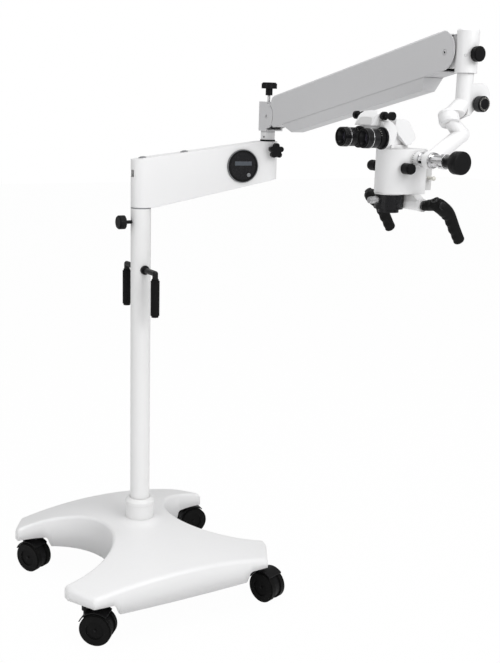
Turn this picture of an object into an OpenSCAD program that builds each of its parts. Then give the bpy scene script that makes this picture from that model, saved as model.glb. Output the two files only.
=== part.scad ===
// Dental microscope on a rolling floor stand.
// The origin is on the floor under the middle of the post, and +Z is up.
// The lower arm runs towards +X, the spring arm runs over it towards -Y,
// and the user looks into the eyepieces from the -X side.

/* [Base] */
// Half length of a long side of the base, at its corners
base_half_x = 270; // [240:1:300]
// Half width of the base, at the same corners
base_half_y = 304; // [280:1:340]
// Half length over the slanted end faces
end_half_x = 314; // [305:1:350]
// Half width where the slanted end faces stop
end_half_y = 222; // [210:1:250]
// Bulge of a long side between its corners
side_bulge = 8; // [4:1:14]
// Radius of the round bay in each short side
bay_r = 200; // [180:1:205]
// Distance of a bay's centre from the post
bay_x = 305; // [295:1:325]
// Height of the base under the collar
base_crown = 203; // [195:1:215]
// Drop of the domed top from the post to a corner
base_drop = 66; // [60:1:70]
// Height of the skirt's lower edge above the floor
skirt_z = 82; // [78:1:88]
// Height of the skirt's lower edge over the wheels
arch_z = 111; // [109:1:114]
// Wall of the plastic cover
cover_wall = 4; // [3:0.5:5]
// Rounding of the cover's upper edge
edge_round = 7; // [4:1:8]
// Thickness of the iron frame's plate
frame_plate = 18; // [14:1:20]

/* [Casters] */
// Diameter of a caster wheel
wheel_d = 90; // [80:1:92]
// Tread width of one wheel
wheel_w = 21; // [18:1:24]
// Free space between a caster's two wheels
wheel_gap = 18; // [16:1:22]
// Distance from the swivel pin to the axle
caster_trail = 33; // [28:1:36]
// Distance of the swivel pins from the middle, along X
caster_x = 272; // [262:1:276]
// Distance of the swivel pins from the middle, along Y
caster_y = 252; // [246:1:258]
// Diameter of a caster's axle
axle_d = 8; // [6:1:10]

/* [Post] */
// Outer diameter of the post
post_d = 57; // [54:1:62]
// Wall of the post
post_wall = 3.5; // [3:0.5:5]
// Height of the joint between post and lower arm
post_top = 1138; // [1050:1:1200]
// Outer diameter of the collar on the base
collar_d = 83; // [78:1:92]
// Height of the collar
collar_h = 64; // [50:1:80]
// Distance of the push grips from the post's axis
grip_reach = 96; // [85:1:110]
// Height of the push grips' upper end
grip_top = 974; // [900:1:1000]
// Length of a push grip
grip_len = 134; // [110:1:150]
// Diameter of a push grip
grip_d = 25; // [22:1:30]
// Diameter of the post's clamp knob
post_knob_d = 40; // [32:1:44]

/* [Lower arm] */
// Distance from the post's axis to the neck's axis
lower_len = 384; // [340:1:430]
// Direction of the lower arm, counted from +X
lower_heading = -7.5; // [-30:0.5:30]
// Width of the lower arm
lower_w = 57; // [57:1:64]
// Height of the lower arm at the post
lower_h_post = 132; // [125:1:145]
// Height of the lower arm at the neck
lower_h_neck = 106; // [95:1:110]
// Rise of the lower arm's underside from post to neck
lower_rise = 80; // [60:1:90]
// Wall of the lower arm's casting
lower_wall = 4; // [3:0.5:5]
// Diameter of the spindle that turns in the post
spindle_d = 38; // [32:1:40]
// Length of the spindle inside the post
spindle_len = 120; // [90:1:150]
// Diameter of the round display
display_d = 95; // [80:1:98]
// Distance of the display from the post's axis
display_x = 295; // [280:1:300]
// Diameter of the power button
button_d = 11; // [8:1:13]
// Travel of the power button
button_travel = 2; // [1.5:0.5:2.5]
// Diameter over the lobes of the star knob
star_d = 44; // [38:1:48]

/* [Yoke] */
// Diameter of the yoke's neck
neck_d = 41; // [40:1:44]
// Height of the lift pivot above the neck's lower end
pivot_rise = 72; // [66:1:76]
// Distance of the lift pivot from the neck's axis
pivot_reach = 34; // [32:1:38]
// Width of the yoke and of the spring arm
arm_w = 57; // [54:1:62]
// Thickness of a yoke cheek
cheek_t = 5; // [4:0.5:6]
// Diameter of the pivot pins
pin_d = 12; // [10:1:14]
// Diameter of the tension knob's cap
tension_d = 46; // [38:1:50]

/* [Spring arm] */
// Distance between the lift pivot and the level pivot
arm_len = 756.5; // [700:0.5:820]
// Angle of the spring arm above the level, at rest
arm_pitch = 11.88; // [8:0.01:16]
// Height of the spring arm above its pivot line
arm_up = 49; // [46:1:52]
// Depth of the spring arm's side below its pivot line
arm_down = 38; // [36:1:39]
// Depth of the belly cover below the pivot line
belly_down = 65; // [62:1:68]
// Sheet thickness of the arm's covers
arm_sheet = 2.5; // [2:0.5:3]
// Offset of the level link below the pivots
link_drop = 26; // [24:1:28]
// Diameter of the gas spring
gas_d = 22; // [18:1:24]

/* [Head block] */
// Diameter of the block that carries the head
block_d = 49; // [46:1:50]
// Height of the block above the level pivot
block_up = 49; // [46:1:50]
// Depth of the block below the level pivot
block_down = 44; // [42:1:46]
// Distance from the level pivot to the swivel axis
block_reach = 41; // [40:1:46]
// Diameter of the block's friction knob
block_knob_d = 34; // [28:1:38]

/* [Drop arm] */
// Diameter of the drop arm's post
drop_d = 37; // [34:1:40]
// Diameter of the swivel spindle in the block
swivel_d = 24; // [20:1:28]
// Diameter of the inclined joint's foot
foot_d = 46; // [42:1:50]
// Depth of the foot's centre below the block
foot_drop = 100; // [98:1:104]
// Shift of the foot towards the user
foot_shift = 38; // [34:1:40]
// Angle of the inclined axis from the vertical
swing_tilt = 33; // [28:1:36]
// Compass direction in which the inclined axis leans
swing_heading = 248; // [242:1:254]
// Diameter of the knurled knob on the drop arm
drop_knob_d = 36; // [30:1:38]

/* [Swan neck and tilt axis] */
// Diameter of the flat face under the swan neck's head
swan_head_d = 41; // [36:1:44]
// Thickness of the swan neck at its collar
swan_d = 35; // [33:1:37]
// Diameter of the tilt shaft
tilt_shaft_d = 16; // [14:1:18]
// Length of the chrome barrel
barrel_len = 46; // [40:1:52]
// Diameter of the chrome barrel
barrel_d = 26; // [24:1:28]
// Diameter of the large tilt knob
tilt_knob_d = 48; // [42:1:54]

/* [Microscope body] */
// Distance of the optical axis from the swivel axis, towards the user
optic_back = 141; // [136:1:146]
// Shift of the optical axis from the swivel axis, along the spring arm
optic_side = 65; // [62:1:68]
// Height of the tilt axis under the foot's centre
tilt_drop = 87; // [84:1:90]
// Distance of the tilt axis behind the optical axis
tilt_back = 33; // [30:1:36]
// Half width of the microscope body
body_half_w = 48; // [46:1:50]
// Height of the microscope body
body_h = 99; // [95:1:103]
// Length of the body behind the optical axis
body_back = 62; // [58:1:66]
// Wall of the microscope body
body_wall = 3; // [2.5:0.5:4]
// Diameter of the objective housing
objective_d = 64; // [60:1:68]
// Height of the objective housing
objective_h = 35; // [33:1:37]
// Diameter of the clear lens
lens_d = 40; // [36:1:42]
// Diameter of the magnification knobs
mag_knob_d = 25; // [22:1:28]

/* [Handles] */
// Distance of each handle from the middle of the body
handle_side = 121; // [116:1:126]
// Diameter of a handle grip
handle_d = 27; // [24:1:29]
// Drop of a handle from its elbow to its tip
handle_fall = 84; // [80:1:96]
// Backward lean of a handle from its elbow to its tip
handle_lean = 66; // [56:1:72]

/* [Binocular] */
// Distance between the two eyepieces at rest
eye_gap = 80; // [72:1:82]
// Diameter of an eyepiece
eye_d = 42; // [38:1:44]
// Height of the eyepieces above the tilt axis
eye_rise = 44; // [42:1:46]
// Length of an eyepiece in front of the housing
eye_len = 48; // [44:1:52]
// Diameter of the inclination shaft's knobs
bino_knob_d = 18; // [15:1:20]

/* [Fits] */
// Radial clearance of a shaft in its bore
fit = 0.05; // [0.02:0.01:0.1]
// Space between faces that move past each other
gap = 0.3; // [0.3:0.1:0.6]

/* [Hidden] */
$fn = 48;
fine = 180;
cut = 1;

// Knurled knobs: size of a groove and of the end face
rib_share = 0.03;
face_share = 0.85;
post_ribs = 16;
cap_ribs = 18;
block_ribs = 14;
drop_ribs = 30;
focus_ribs = 24;
mag_ribs = 20;
diopter_ribs = 36;

// Base: the dome is a ball whose top is the crown
corner_r = sqrt(base_half_x * base_half_x + base_half_y * base_half_y);
dome_r = (corner_r * corner_r + base_drop * base_drop) / (2 * base_drop);
side_r = (base_half_x * base_half_x + side_bulge * side_bulge) / (2 * side_bulge);
base_tall = base_crown + collar_h;
frame_inset = cover_wall + 2 * gap;
frame_z = arch_z + gap;
ballast_half_x = base_half_x - caster_trail - wheel_d / 2 - wheel_gap;
ballast_z = skirt_z + cover_wall;
foot_flare = 14;
flare_h = 6;
collar_lip = 4;
collar_steps = 7;
collar_z = base_crown + flare_h;
socket_z = ballast_z + frame_plate;

// Casters: pin, hood and the directions in which the four trail
caster_trails = [-62, -42, -72, -5];
caster_signs = [[-1, 1], [-1, -1], [1, -1], [1, 1]];
caster_pin_d = 12;
caster_pin_h = 24;
hood_t = 3;
wheel_sweep = 86;
fender_low = 20;
fender_front = 30;
fender_turn = 60;
hood_less = 8;
hood_d = wheel_d - hood_less;
hood_half_w = wheel_gap / 2 - gap;
caster_neck_d = 26;
axle_half = wheel_gap / 2 + wheel_w - gap;
hub_d = 50;
hub_depth = 3;

// Post
bush_flange = 3;
post_len = post_top - bush_flange - gap - socket_z;
post_id = post_d - 2 * post_wall;
bush_len = spindle_len;
stem_d = 16;
stem_sunk = 3;
stem_z = grip_top - stem_d / 2 - stem_sunk;
grip_end = 10;
clamp_drop = 41;
clamp_z = post_top - clamp_drop;
clamp_stem = 22;
clamp_stem_d = 10;
clamp_disc = 20;

// Lower arm
neck_x = lower_len * cos(lower_heading);
neck_y = lower_len * sin(lower_heading);
lower_half = lower_w / 2;
lower_top_post = post_top + lower_h_post;
lower_bottom_neck = post_top + lower_rise;
lower_top_neck = lower_bottom_neck + lower_h_neck;
lower_flat = lower_len - lower_half + lower_wall;
lower_slope = (lower_top_neck - lower_top_post) / (lower_flat + lower_half);
lower_under = lower_rise / lower_len;
cap_d = 22;
cap_h = 4;
cap_shares = [0.01, 0.33];
display_rise = 116;
display_z = post_top + display_rise;
bezel_t = 3;
screen_t = 2.5;
screen_inset = 8;
button_x = 18;
button_z = 25;
plate_t = 3;
boss_wall = 7;
spindle_boss = spindle_d + 2 * boss_wall;
light_x = 120;
light_size = [110, 34, 44];
fins = 6;
fin_start = 0.3;
fin_share = 0.4;
star_shift = 6.5;
star_rise = 161;
star_x = lower_len + star_shift;
star_z = post_top + star_rise;
star_stem = 12;
star_h = 14;
star_lobes = 5;
star_turn = 90;
star_lobe_d = 16;
star_pin_d = 8;
spindle_grip = 60;
power_w = 28;
power_h = 20;
power_rise = 84;
power_z = post_top + power_rise;
power_deep = 16;

// Yoke
ring_t = 4.5;
ring_wide = 3;
ring_d = neck_d + ring_wide;
neck_z = lower_top_neck + gap;
neck_base = neck_z + ring_t;
lift_z = neck_base + pivot_rise - ring_t;
lift_y = neck_y - pivot_reach;
yoke_half = arm_w / 2;
cheek_in = yoke_half - cheek_t;
yoke_top = 40;
yoke_bottom = 42;
yoke_end = 6;
yoke_back = pivot_reach + yoke_end;
yoke_wall = 11;
yoke_floor = 4;
socket_d = 4;
socket_deep = 3;
eye_r = 34;
neck_pin_d = 26;
neck_pin_len = 60;
neck_boss = neck_pin_d + 2 * boss_wall;
link_pin_d = 8;
tension_rod_d = 7;
tension_rod_up = 18;
tension_stem = 20;
tension_stem_h = 19;
tension_cap = 17;
tension_depth = 30;

// Spring arm, seen along its pivot line
beam_half = 16;
beam_tall = 14;
boss_r = 28;
spacer_wall = 3;
spacer_r = pin_d / 2 + spacer_wall;
ear_t = 2.4;
ear_in = yoke_half - arm_sheet - gap - ear_t;
roof_end = 21;
floor_end = 20;
end_over = 1;
end_r = (arm_up + arm_down) / 2 + end_over;
end_back = 12.5;
end_x = arm_len - end_back;
arm_tip = arm_len + end_r;
arm_chamfer = 5;
top_ray = 48;
low_ray = 50;
beam_wall = 3;
beam_back = 40.5;
beam_end = arm_len - beam_back;
fork_t = 12;
fork_low = 10;
lug_t = 12;
swing_free = 2;
swing_r = eye_r + swing_free;
belly_start = 78;
belly_slant = 32;
belly_end = 73;
belly_lean = 22;
belly_taper = 9;
link_t = 5;
link_w = 14;
link_lip = 1;
link_free = 1.5;
link_in = beam_half + link_free;
gas_start = 70;
gas_body = 150;
gas_end = 430;
lug_places = [gas_start - lug_t, gas_end + lug_t / 2];
gas_depth = 34;
gas_rod_d = 8;
gas_tail = 1.5 * lug_t;
pivot_r = 20;

// Head block
level_y = lift_y - arm_len * cos(arm_pitch);
level_z = lift_z + arm_len * sin(arm_pitch);
swivel_y = level_y - block_reach;
tongue_r = 34;
block_round = 3;
block_slot = 6;
block_knob_z = -4;
block_knob_stem = 4;
block_knob_h = 14;
knob_pin_d = 8;
knob_pin_in = 8;

// Drop arm
block_bottom = level_z - block_down;
foot_z = block_bottom - foot_drop;
foot_x = neck_x - foot_shift;
block_roof = 12;
swivel_len = block_down + block_up - block_roof;
shoulder_r = 26;
shoulder_half = 17;
shoulder_pull = 3;
knob_lift = 3;
shoulder_out = 34;
shoulder_drop = 47;
shoulder_z = block_bottom - shoulder_drop;
drop_knob_x = 26;
drop_knob_low = 65;
drop_knob_z = block_bottom - drop_knob_low;
drop_knob_h = 19;
drop_half = drop_d / 2;
bend_drop = 62;
bend_z = block_bottom - bend_drop;
bend_slim = 1;

// Inclined joint and swan neck
swing_pin_d = 18;
swing_pin_len = 16;
swing_joint = 9;
foot_collar = 6;
head_low = 4;
head_face = 11;
swan_slim = 5;
swan_over = 1;
swan_mid = [31, -8, -32];
tilt_x = neck_x - optic_back + tilt_back;
tilt_z = foot_z - tilt_drop;
optic_x = neck_x - optic_back;
optic_y = swivel_y + optic_side;
ring_w = 18;
groove_w = 18;
swan_w = 15;
swan_y = optic_y - body_half_w - ring_w - groove_w - gap;
barrel_y = swan_y - swan_w;
knob_y = barrel_y - barrel_len - gap;
knob_neck = 34;
knob_neck_d = 24;
knob_rim = 9;
knob_dome = 8;
knob_spigot = 12;
barrel_rim_d = 33;
barrel_rim = 5;
barrel_bump = 7;
bump_sunk = 1;
ring_wide_d = 34.5;
groove_d = 30;
tilt_in = 20;

// Microscope body
body_shift = 17;
body_w = 2 * body_half_w;
body_edge = 2;
rear_edge = 3;
light_path_d = 44;
path_side = 12;
path_d = 18;
body_rise = 22;
body_top = tilt_z + body_rise;
body_bottom = body_top - body_h;
rear_len = 24;
rear_half = 42;
rear_drop = 8;
objective_ring_d = 46;
objective_ring_h = 8;
lens_t = 8;
lens_sunk = 3;
lens_curve = 90;
lens_bulge = 2;
mag_drop = 20;
mag_z = tilt_z - mag_drop;
mag_len = 25;
mag_drum_d = 36;
mag_shaft_d = 10;
mag_drum_half = 26;
drum_bore_d = 13;
focus_d = 16;
focus_len = 24;
focus_pin_d = 6;
focus_drop = 15;
focus_z = body_bottom - focus_drop;
lever_d = 8;
lever_len = 18;
lever_tip = 2;
lever_in = 16;
lever_drop = 42;
lever_z = tilt_z - lever_drop;
lever_x = body_back + rear_len / 2;

// Handles
bar_x = 34;
bar_drop = 22;
bar_z = body_bottom - bar_drop;
bar_d = 26;
bar_half = 78;
web_top = 54;
web_low = 74;
web_rise = 8;
bar_end = 12;
bar_wall = 3;
bar_lip = 1;
groove_shares = [0.26, 0.42, 0.58, 0.74];
finger_r = 12;
finger_deep = 2.5;
elbow_x = 44;
elbow_rise = 4;
elbow_z = bar_z + elbow_rise;
elbow_wide = 2;
elbow_d = 32;

// Binocular: outlines run backwards from the optical axis and up from the tilt axis
eye_z = tilt_z + eye_rise;
eye_front = 112;
eye_back = eye_front - eye_len;
drum_x = -51;
drum_rise = 54;
drum_r = 27;
drum_half = 44;
housing_wall = 3;
web_half = 16;
hinge_pin_d = 6;
tongue_eye_r = 6.5;
tongue_half = 10;
tongue_t = 12;
tongue_reach = 35;
slot_up = 13;
slot_down = 18;
cheek_half = 38;
cheek_outline = [[-22, 85], [3, 85], [13, 79], [31, 55], [34, 44], [22, 31], [9, 29], [-19, 57], [-28, 57]];
core_half = 26;
core_outline = [[-22, 22], [24, 22], [22, 31], [31, 44], [29, 56], [12, 77], [3, 83], [-22, 83]];
bino_lift = 8;
bino_foot_d = 60;
plate_half = 36;
plate_r = 22;
plate_deep = 9;
window_d = 16;
tube_d = 34;
flange_d = 48;
flange_t = 4;
ring_len = 15;
rim_t = 2;
rim_wide = 1;
crown_half = 30;
crown_top = 102;
crown_low = 60;
crown_edge = 8;
crown_outline = [
    [-84, 70], [-74, 89], [-64, 100], [-48, 102], [-36, 96],
    [-31, 84], [-35, 62], [-54, 62], [-59, 70]];
bino_knob_x = 55;
bino_knob_z = eye_z + 47;
bino_shaft_d = 6;
bino_waist_d = 11;
bino_knob_gap = 2;
bino_knob_rim = 8;
bino_knob_len = 34;
eye_travel = 12.5;
eye_lens_d = 22;
cup_deep = 14;
cup_rim = 2;

// A tube standing on the XY plane
module tube(outer, inner, tall) {
    difference() {
        cylinder(d = outer, h = tall);
        translate([0, 0, -cut]) cylinder(d = inner, h = tall + 2 * cut);
    }
}

// A round bar that runs along Y, from its first end to its second
module bar_y(d, from, to) {
    translate([0, from, 0]) rotate([from > to ? 90 : -90, 0, 0]) cylinder(d = d, h = abs(to - from));
}

// A round bar that runs along X
module bar_along_x(d, from, to) {
    translate([from, 0, 0]) rotate([0, 90, 0]) cylinder(d = d, h = to - from);
}

// A knurled knob on the XY plane, with a rounded upper edge
module knob(d, tall, ribs) {
    rib_r = d * rib_share;
    difference() {
        union() {
            cylinder(d = d - rib_r, h = tall * face_share);
            cylinder(d = d * face_share, h = tall);
        }
        for (i = [0:ribs - 1])
            rotate([0, 0, i * 360 / ribs]) translate([d / 2, 0, -cut]) cylinder(r = rib_r, h = tall + 2 * cut);
    }
}

// The base's plan, drawn in by an inset, with a bulge on each long side
module base_outline(inset) {
    tip_x = end_half_x - inset;
    tip_y = end_half_y - inset / 2;
    corner_x = base_half_x - inset / 2;
    corner_y = base_half_y - inset;
    peak_y = base_half_y + 2 * side_bulge - inset;
    difference() {
        intersection() {
            polygon([
                [tip_x, tip_y], [corner_x, corner_y], [0, peak_y], [-corner_x, corner_y], [-tip_x, tip_y],
                [-tip_x, -tip_y], [-corner_x, -corner_y], [0, -peak_y],
                [corner_x, -corner_y], [tip_x, -tip_y]]);
            translate([0, base_half_y + side_bulge - side_r]) circle(r = side_r - inset, $fn = fine);
            translate([0, side_r - base_half_y - side_bulge]) circle(r = side_r - inset, $fn = fine);
        }
        for (s = [-1, 1])
            translate([s * bay_x, 0]) circle(r = bay_r + inset, $fn = fine);
    }
}

// Everything under the dome, lowered by an amount
module under_dome(lowered) {
    translate([0, 0, base_crown - dome_r - lowered]) sphere(r = dome_r, $fn = fine);
}

// A slab of the base's plan from a height up to the dome
module base_slab(inset, from, lowered) {
    intersection() {
        translate([0, 0, from]) linear_extrude(height = base_tall) base_outline(inset);
        under_dome(lowered);
    }
}

// The four swivel pins of the casters
module at_casters() {
    for (s = caster_signs)
        translate([s[0] * caster_x, s[1] * caster_y, 0]) children();
}

module base_cover() {
    edge_shares = [[0, 1], [0.3, 0.3], [1, 0]];
    collar_r = collar_d / 2;
    color("whitesmoke")
    difference() {
        union() {
            for (e = edge_shares)
                base_slab(e[0] * edge_round, skirt_z, e[1] * edge_round);
            translate([0, 0, base_crown - flare_h])
                cylinder(r1 = collar_r + foot_flare + flare_h, r2 = collar_r + flare_h / 2, h = 2 * flare_h);
        }
        base_slab(cover_wall, skirt_z - cut, cover_wall + edge_round);
        base_slab(cover_wall + edge_round, skirt_z - cut, cover_wall + flare_h / 2);
        at_casters() cylinder(r = wheel_sweep, h = arch_z);
        cylinder(d = post_d + 2 * gap, h = base_tall);
    }
}

module base_frame() {
    color("dimgray")
    difference() {
        union() {
            intersection() {
                union() {
                    translate([0, 0, frame_z]) linear_extrude(height = frame_plate) base_outline(frame_inset);
                    at_casters() translate([0, 0, frame_z])
                        cylinder(d = caster_pin_d + foot_flare, h = caster_pin_h);
                }
                under_dome(cover_wall + edge_round + gap);
            }
            intersection() {
                translate([0, 0, ballast_z]) linear_extrude(height = frame_z - ballast_z + frame_plate)
                    base_outline(frame_inset);
                translate([-ballast_half_x, -base_half_y, 0])
                    cube([2 * ballast_half_x, 2 * base_half_y, base_crown]);
            }
            cylinder(d = collar_d + foot_flare, h = base_crown - cover_wall - flare_h);
        }
        cylinder(d = 2 * base_crown, h = ballast_z);
        translate([0, 0, socket_z]) cylinder(d = post_d + 2 * gap, h = base_tall);
        at_casters() cylinder(r = caster_pin_d / 2 + fit, h = base_tall);
    }
}

module post_collar() {
    shoulder = collar_h / collar_steps;
    color("white")
    translate([0, 0, collar_z])
    difference() {
        union() {
            cylinder(d = collar_d, h = collar_h - shoulder);
            translate([0, 0, collar_h - 2 * shoulder]) cylinder(d = collar_d + collar_lip, h = shoulder);
            translate([0, 0, collar_h - shoulder])
                cylinder(d1 = collar_d + collar_lip, d2 = (collar_d + post_d) / 2, h = shoulder);
        }
        translate([0, 0, -cut]) cylinder(d = post_d + 2 * gap, h = collar_h + 2 * cut);
    }
}

module post_tube() {
    color("white")
    difference() {
        translate([0, 0, socket_z]) tube(post_d, post_id, post_len);
        translate([0, 0, clamp_z]) bar_along_x(clamp_stem_d + 2 * fit, -post_d, 0);
    }
}

module post_bush() {
    color("ivory")
    difference() {
        translate([0, 0, post_top - gap - bush_flange]) {
            cylinder(d = post_d, h = bush_flange);
            translate([0, 0, -bush_len]) cylinder(d = post_id - 2 * fit, h = bush_len + cut);
        }
        translate([0, 0, socket_z]) cylinder(d = spindle_d + 2 * fit, h = post_top);
        translate([0, 0, clamp_z]) bar_along_x(clamp_stem_d + 2 * gap, -post_d, 0);
    }
}

module post_knob() {
    color("#222222")
    translate([0, 0, clamp_z]) {
        bar_along_x(clamp_stem_d, -post_d / 2 - clamp_stem, -spindle_d / 2 - gap);
        translate([-post_d / 2 - clamp_stem, 0, 0]) rotate([0, -90, 0])
            knob(post_knob_d, clamp_disc, post_ribs);
    }
}

module grip_stems() {
    color("#1c1c1c")
    difference() {
        for (s = [-1, 1]) {
            translate([0, 0, stem_z]) bar_y(stem_d, 0, s * grip_reach);
            translate([0, 0, stem_z]) bar_y(stem_d + grip_end, 0, s * (post_d / 2 + grip_end / 2));
            translate([0, s * grip_reach, stem_z]) sphere(d = stem_d);
            translate([0, s * grip_reach, grip_top - grip_len + grip_end])
                cylinder(d = stem_d, h = grip_len - 2 * grip_end);
        }
        cylinder(d = post_d, h = post_top);
    }
}

module push_grips() {
    core = stem_d + 2 * fit;
    low = grip_top - grip_len;
    color("#161616")
    for (s = [-1, 1])
        translate([0, s * grip_reach, low])
        difference() {
            union() {
                translate([0, 0, grip_end / 2]) cylinder(d = grip_d, h = grip_len - stem_d - 2 * grip_end);
                cylinder(d = grip_d - grip_end / 2, h = grip_len - stem_d - grip_end);
            }
            translate([0, 0, grip_end - gap]) cylinder(d = core, h = grip_len);
        }
}

// One caster's own frame, which trails along its +X
module at_caster(i) {
    translate([caster_signs[i][0] * caster_x, caster_signs[i][1] * caster_y, 0])
        rotate([0, 0, caster_trails[i]]) children();
}

module caster_hood(i) {
    guard_r = wheel_d / 2 + hood_t;
    guard_w = 2 * (axle_half - hub_depth);
    color("#202020")
    at_caster(i) {
        translate([0, 0, frame_z - cut]) cylinder(d = caster_pin_d, h = caster_pin_h - cut);
        translate([0, 0, wheel_d / 2]) cylinder(d = 2 * hood_half_w, h = arch_z - wheel_d / 2);
        translate([0, 0, wheel_d]) cylinder(d = caster_neck_d, h = arch_z - wheel_d);
        translate([caster_trail, 0, wheel_d / 2]) {
            bar_y(axle_d, -axle_half, axle_half);
            bar_y(hood_d, -hood_half_w, hood_half_w);
            difference() {
                bar_y(2 * (guard_r + hood_t), -guard_w / 2, guard_w / 2);
                bar_y(2 * guard_r, -guard_w, guard_w);
                translate([-wheel_d, -wheel_d, fender_low - 2 * wheel_d])
                    cube([2 * wheel_d, 2 * wheel_d, 2 * wheel_d]);
                translate([fender_front, -wheel_d, -wheel_d]) cube([wheel_d, 2 * wheel_d, 2 * wheel_d]);
            }
            translate([0, -hood_half_w, 0]) rotate([0, -fender_turn, 0])
                cube([guard_r + hood_t / 2, 2 * hood_half_w, hood_t]);
            translate([-hood_t, -hood_half_w, 0]) cube([hood_t, 2 * hood_half_w, guard_r + hood_t / 2]);
        }
    }
}

module caster_wheels(i) {
    soft = hub_depth;
    color("#101010")
    at_caster(i) translate([caster_trail, 0, wheel_d / 2])
    for (s = [-1, 1])
        difference() {
            union() {
                bar_y(wheel_d, s * (wheel_gap / 2 + soft), s * (wheel_gap / 2 + wheel_w - soft));
                bar_y(wheel_d - 2 * soft, s * wheel_gap / 2, s * (wheel_gap / 2 + wheel_w));
            }
            bar_y(axle_d + 2 * fit, -wheel_d, wheel_d);
            bar_y(hub_d, s * (wheel_gap / 2 + wheel_w - hub_depth), s * wheel_d);
        }
}

module caster_hood_1() { caster_hood(0); }
module caster_hood_2() { caster_hood(1); }
module caster_hood_3() { caster_hood(2); }
module caster_hood_4() { caster_hood(3); }
module caster_wheels_1() { caster_wheels(0); }
module caster_wheels_2() { caster_wheels(1); }
module caster_wheels_3() { caster_wheels(2); }
module caster_wheels_4() { caster_wheels(3); }

// The lower arm's own frame has +X along the arm
module at_lower() {
    rotate([0, 0, lower_heading]) children();
}

// The lower arm's plan, with round ends
module lower_plan(inset) {
    r = lower_half - inset;
    circle(r = r);
    translate([lower_len, 0]) circle(r = r);
    translate([0, -r]) square([lower_len, 2 * r]);
}

// The lower arm seen from its side
module lower_side(inset) {
    end_x = lower_len + lower_half;
    polygon([
        [-lower_half, post_top + inset],
        [lower_half, post_top + inset],
        [end_x, lower_bottom_neck + inset],
        [end_x, lower_top_neck - inset],
        [lower_flat, lower_top_neck - inset],
        [-lower_half, lower_top_post - inset]]);
}

// The lower arm's closed shape, drawn in by an inset
module lower_body(inset) {
    intersection() {
        translate([0, 0, post_top - cut]) linear_extrude(height = lower_rise + lower_h_post + 2 * cut)
            lower_plan(inset);
        rotate([90, 0, 0]) linear_extrude(height = 2 * lower_w, center = true) lower_side(inset);
    }
}

// The opening in the underside that the cover closes
module lower_window(inset) {
    from = spindle_boss;
    translate([from + inset, -lower_half + 2 * lower_wall + inset, post_top - cut])
        cube([lower_len - neck_boss / 2 - from - lower_wall - 2 * inset,
              lower_w - 4 * lower_wall - 2 * inset, lower_rise + plate_t + 2 * cut]);
}

module lower_arm_shell() {
    color("white")
    at_lower()
    difference() {
        union() {
            difference() {
                lower_body(0);
                lower_body(lower_wall);
            }
            intersection() {
                lower_body(0);
                union() {
                    translate([0, 0, post_top]) cylinder(d = spindle_boss, h = spindle_grip + lower_wall);
                    translate([lower_len, 0, post_top]) cylinder(d = neck_boss, h = 2 * lower_h_post);
                    translate([star_x, 0, star_z])
                        bar_y(star_pin_d + 2 * lower_wall, -neck_pin_d / 2, -lower_half);
                    translate([-lower_half, -power_w / 2 - lower_wall, power_z - lower_wall])
                        cube([power_deep + lower_wall, power_w + 2 * lower_wall, power_h + 2 * lower_wall]);
                }
            }
        }
        translate([0, 0, post_top - cut]) cylinder(d = spindle_d + 2 * fit, h = spindle_grip + cut);
        translate([lower_len, 0, neck_z - neck_pin_len - gap])
            cylinder(d = neck_pin_d + 2 * fit, h = neck_pin_len + 2 * lower_wall);
        intersection() {
            lower_window(0);
            difference() {
                lower_body(-cut);
                translate([0, 0, lower_wall + cut]) lower_body(-cut);
            }
        }
        translate([display_x, 0, display_z]) bar_y(display_d - 2 * screen_inset, 0, -lower_w);
        translate([star_x, 0, star_z]) bar_y(star_pin_d + 2 * fit, -neck_pin_d / 2, -lower_w);
        translate([-lower_w, -power_w / 2, power_z]) cube([lower_half + power_deep, power_w, power_h]);
    }
}

module lower_arm_cover() {
    color("gainsboro")
    at_lower()
    intersection() {
        lower_window(gap);
        difference() {
            lower_body(0);
            translate([0, 0, plate_t]) lower_body(0);
        }
    }
}

module arm_spindle() {
    color("silver")
    translate([0, 0, post_top - spindle_len]) cylinder(d = spindle_d, h = spindle_len + spindle_grip - gap);
}

module arm_caps() {
    color("white")
    at_lower()
    for (share = cap_shares)
        translate([share * lower_len, 0, lower_top_post + (share * lower_len + lower_half) * lower_slope])
            rotate([0, -atan(lower_slope), 0]) {
                cylinder(d = cap_d, h = cap_h / 2);
                cylinder(d1 = cap_d, d2 = cap_d / 2, h = cap_h);
            }
}

// The display's own frame has +Z out of the arm's side
module at_display() {
    at_lower() translate([display_x, -lower_half, display_z]) rotate([90, 0, 0]) children();
}

module display_bezel() {
    rim = display_d - 2 * screen_inset;
    color("#2b2b2d")
    at_display()
    difference() {
        union() {
            cylinder(d = display_d, h = bezel_t);
            translate([0, 0, -lower_wall]) cylinder(d = rim - 2 * gap, h = lower_wall + cut);
        }
        translate([0, 0, bezel_t - screen_t]) cylinder(d = rim, h = bezel_t);
        translate([button_x, -button_z, -lower_w]) cylinder(d = button_d + 2 * gap, h = 2 * lower_w);
    }
}

module display_screen() {
    color("#111418")
    at_display()
    translate([0, 0, bezel_t - screen_t])
    difference() {
        cylinder(d = display_d - 2 * screen_inset - 2 * gap, h = screen_t - gap);
        translate([button_x, -button_z, -cut]) cylinder(d = button_d + 2 * gap, h = 2 * bezel_t);
    }
}

module power_button() {
    face = bezel_t;
    color("#b8bcc0")
    at_display()
    translate([button_x, -button_z, 0]) {
        translate([0, 0, -lower_wall - gap])
            cylinder(d = button_d, h = face + lower_wall + button_travel + 2 * gap);
        translate([0, 0, -lower_wall - gap - button_travel / 2])
            cylinder(d = button_d + 2 * button_travel, h = button_travel / 2);
    }
}

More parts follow.
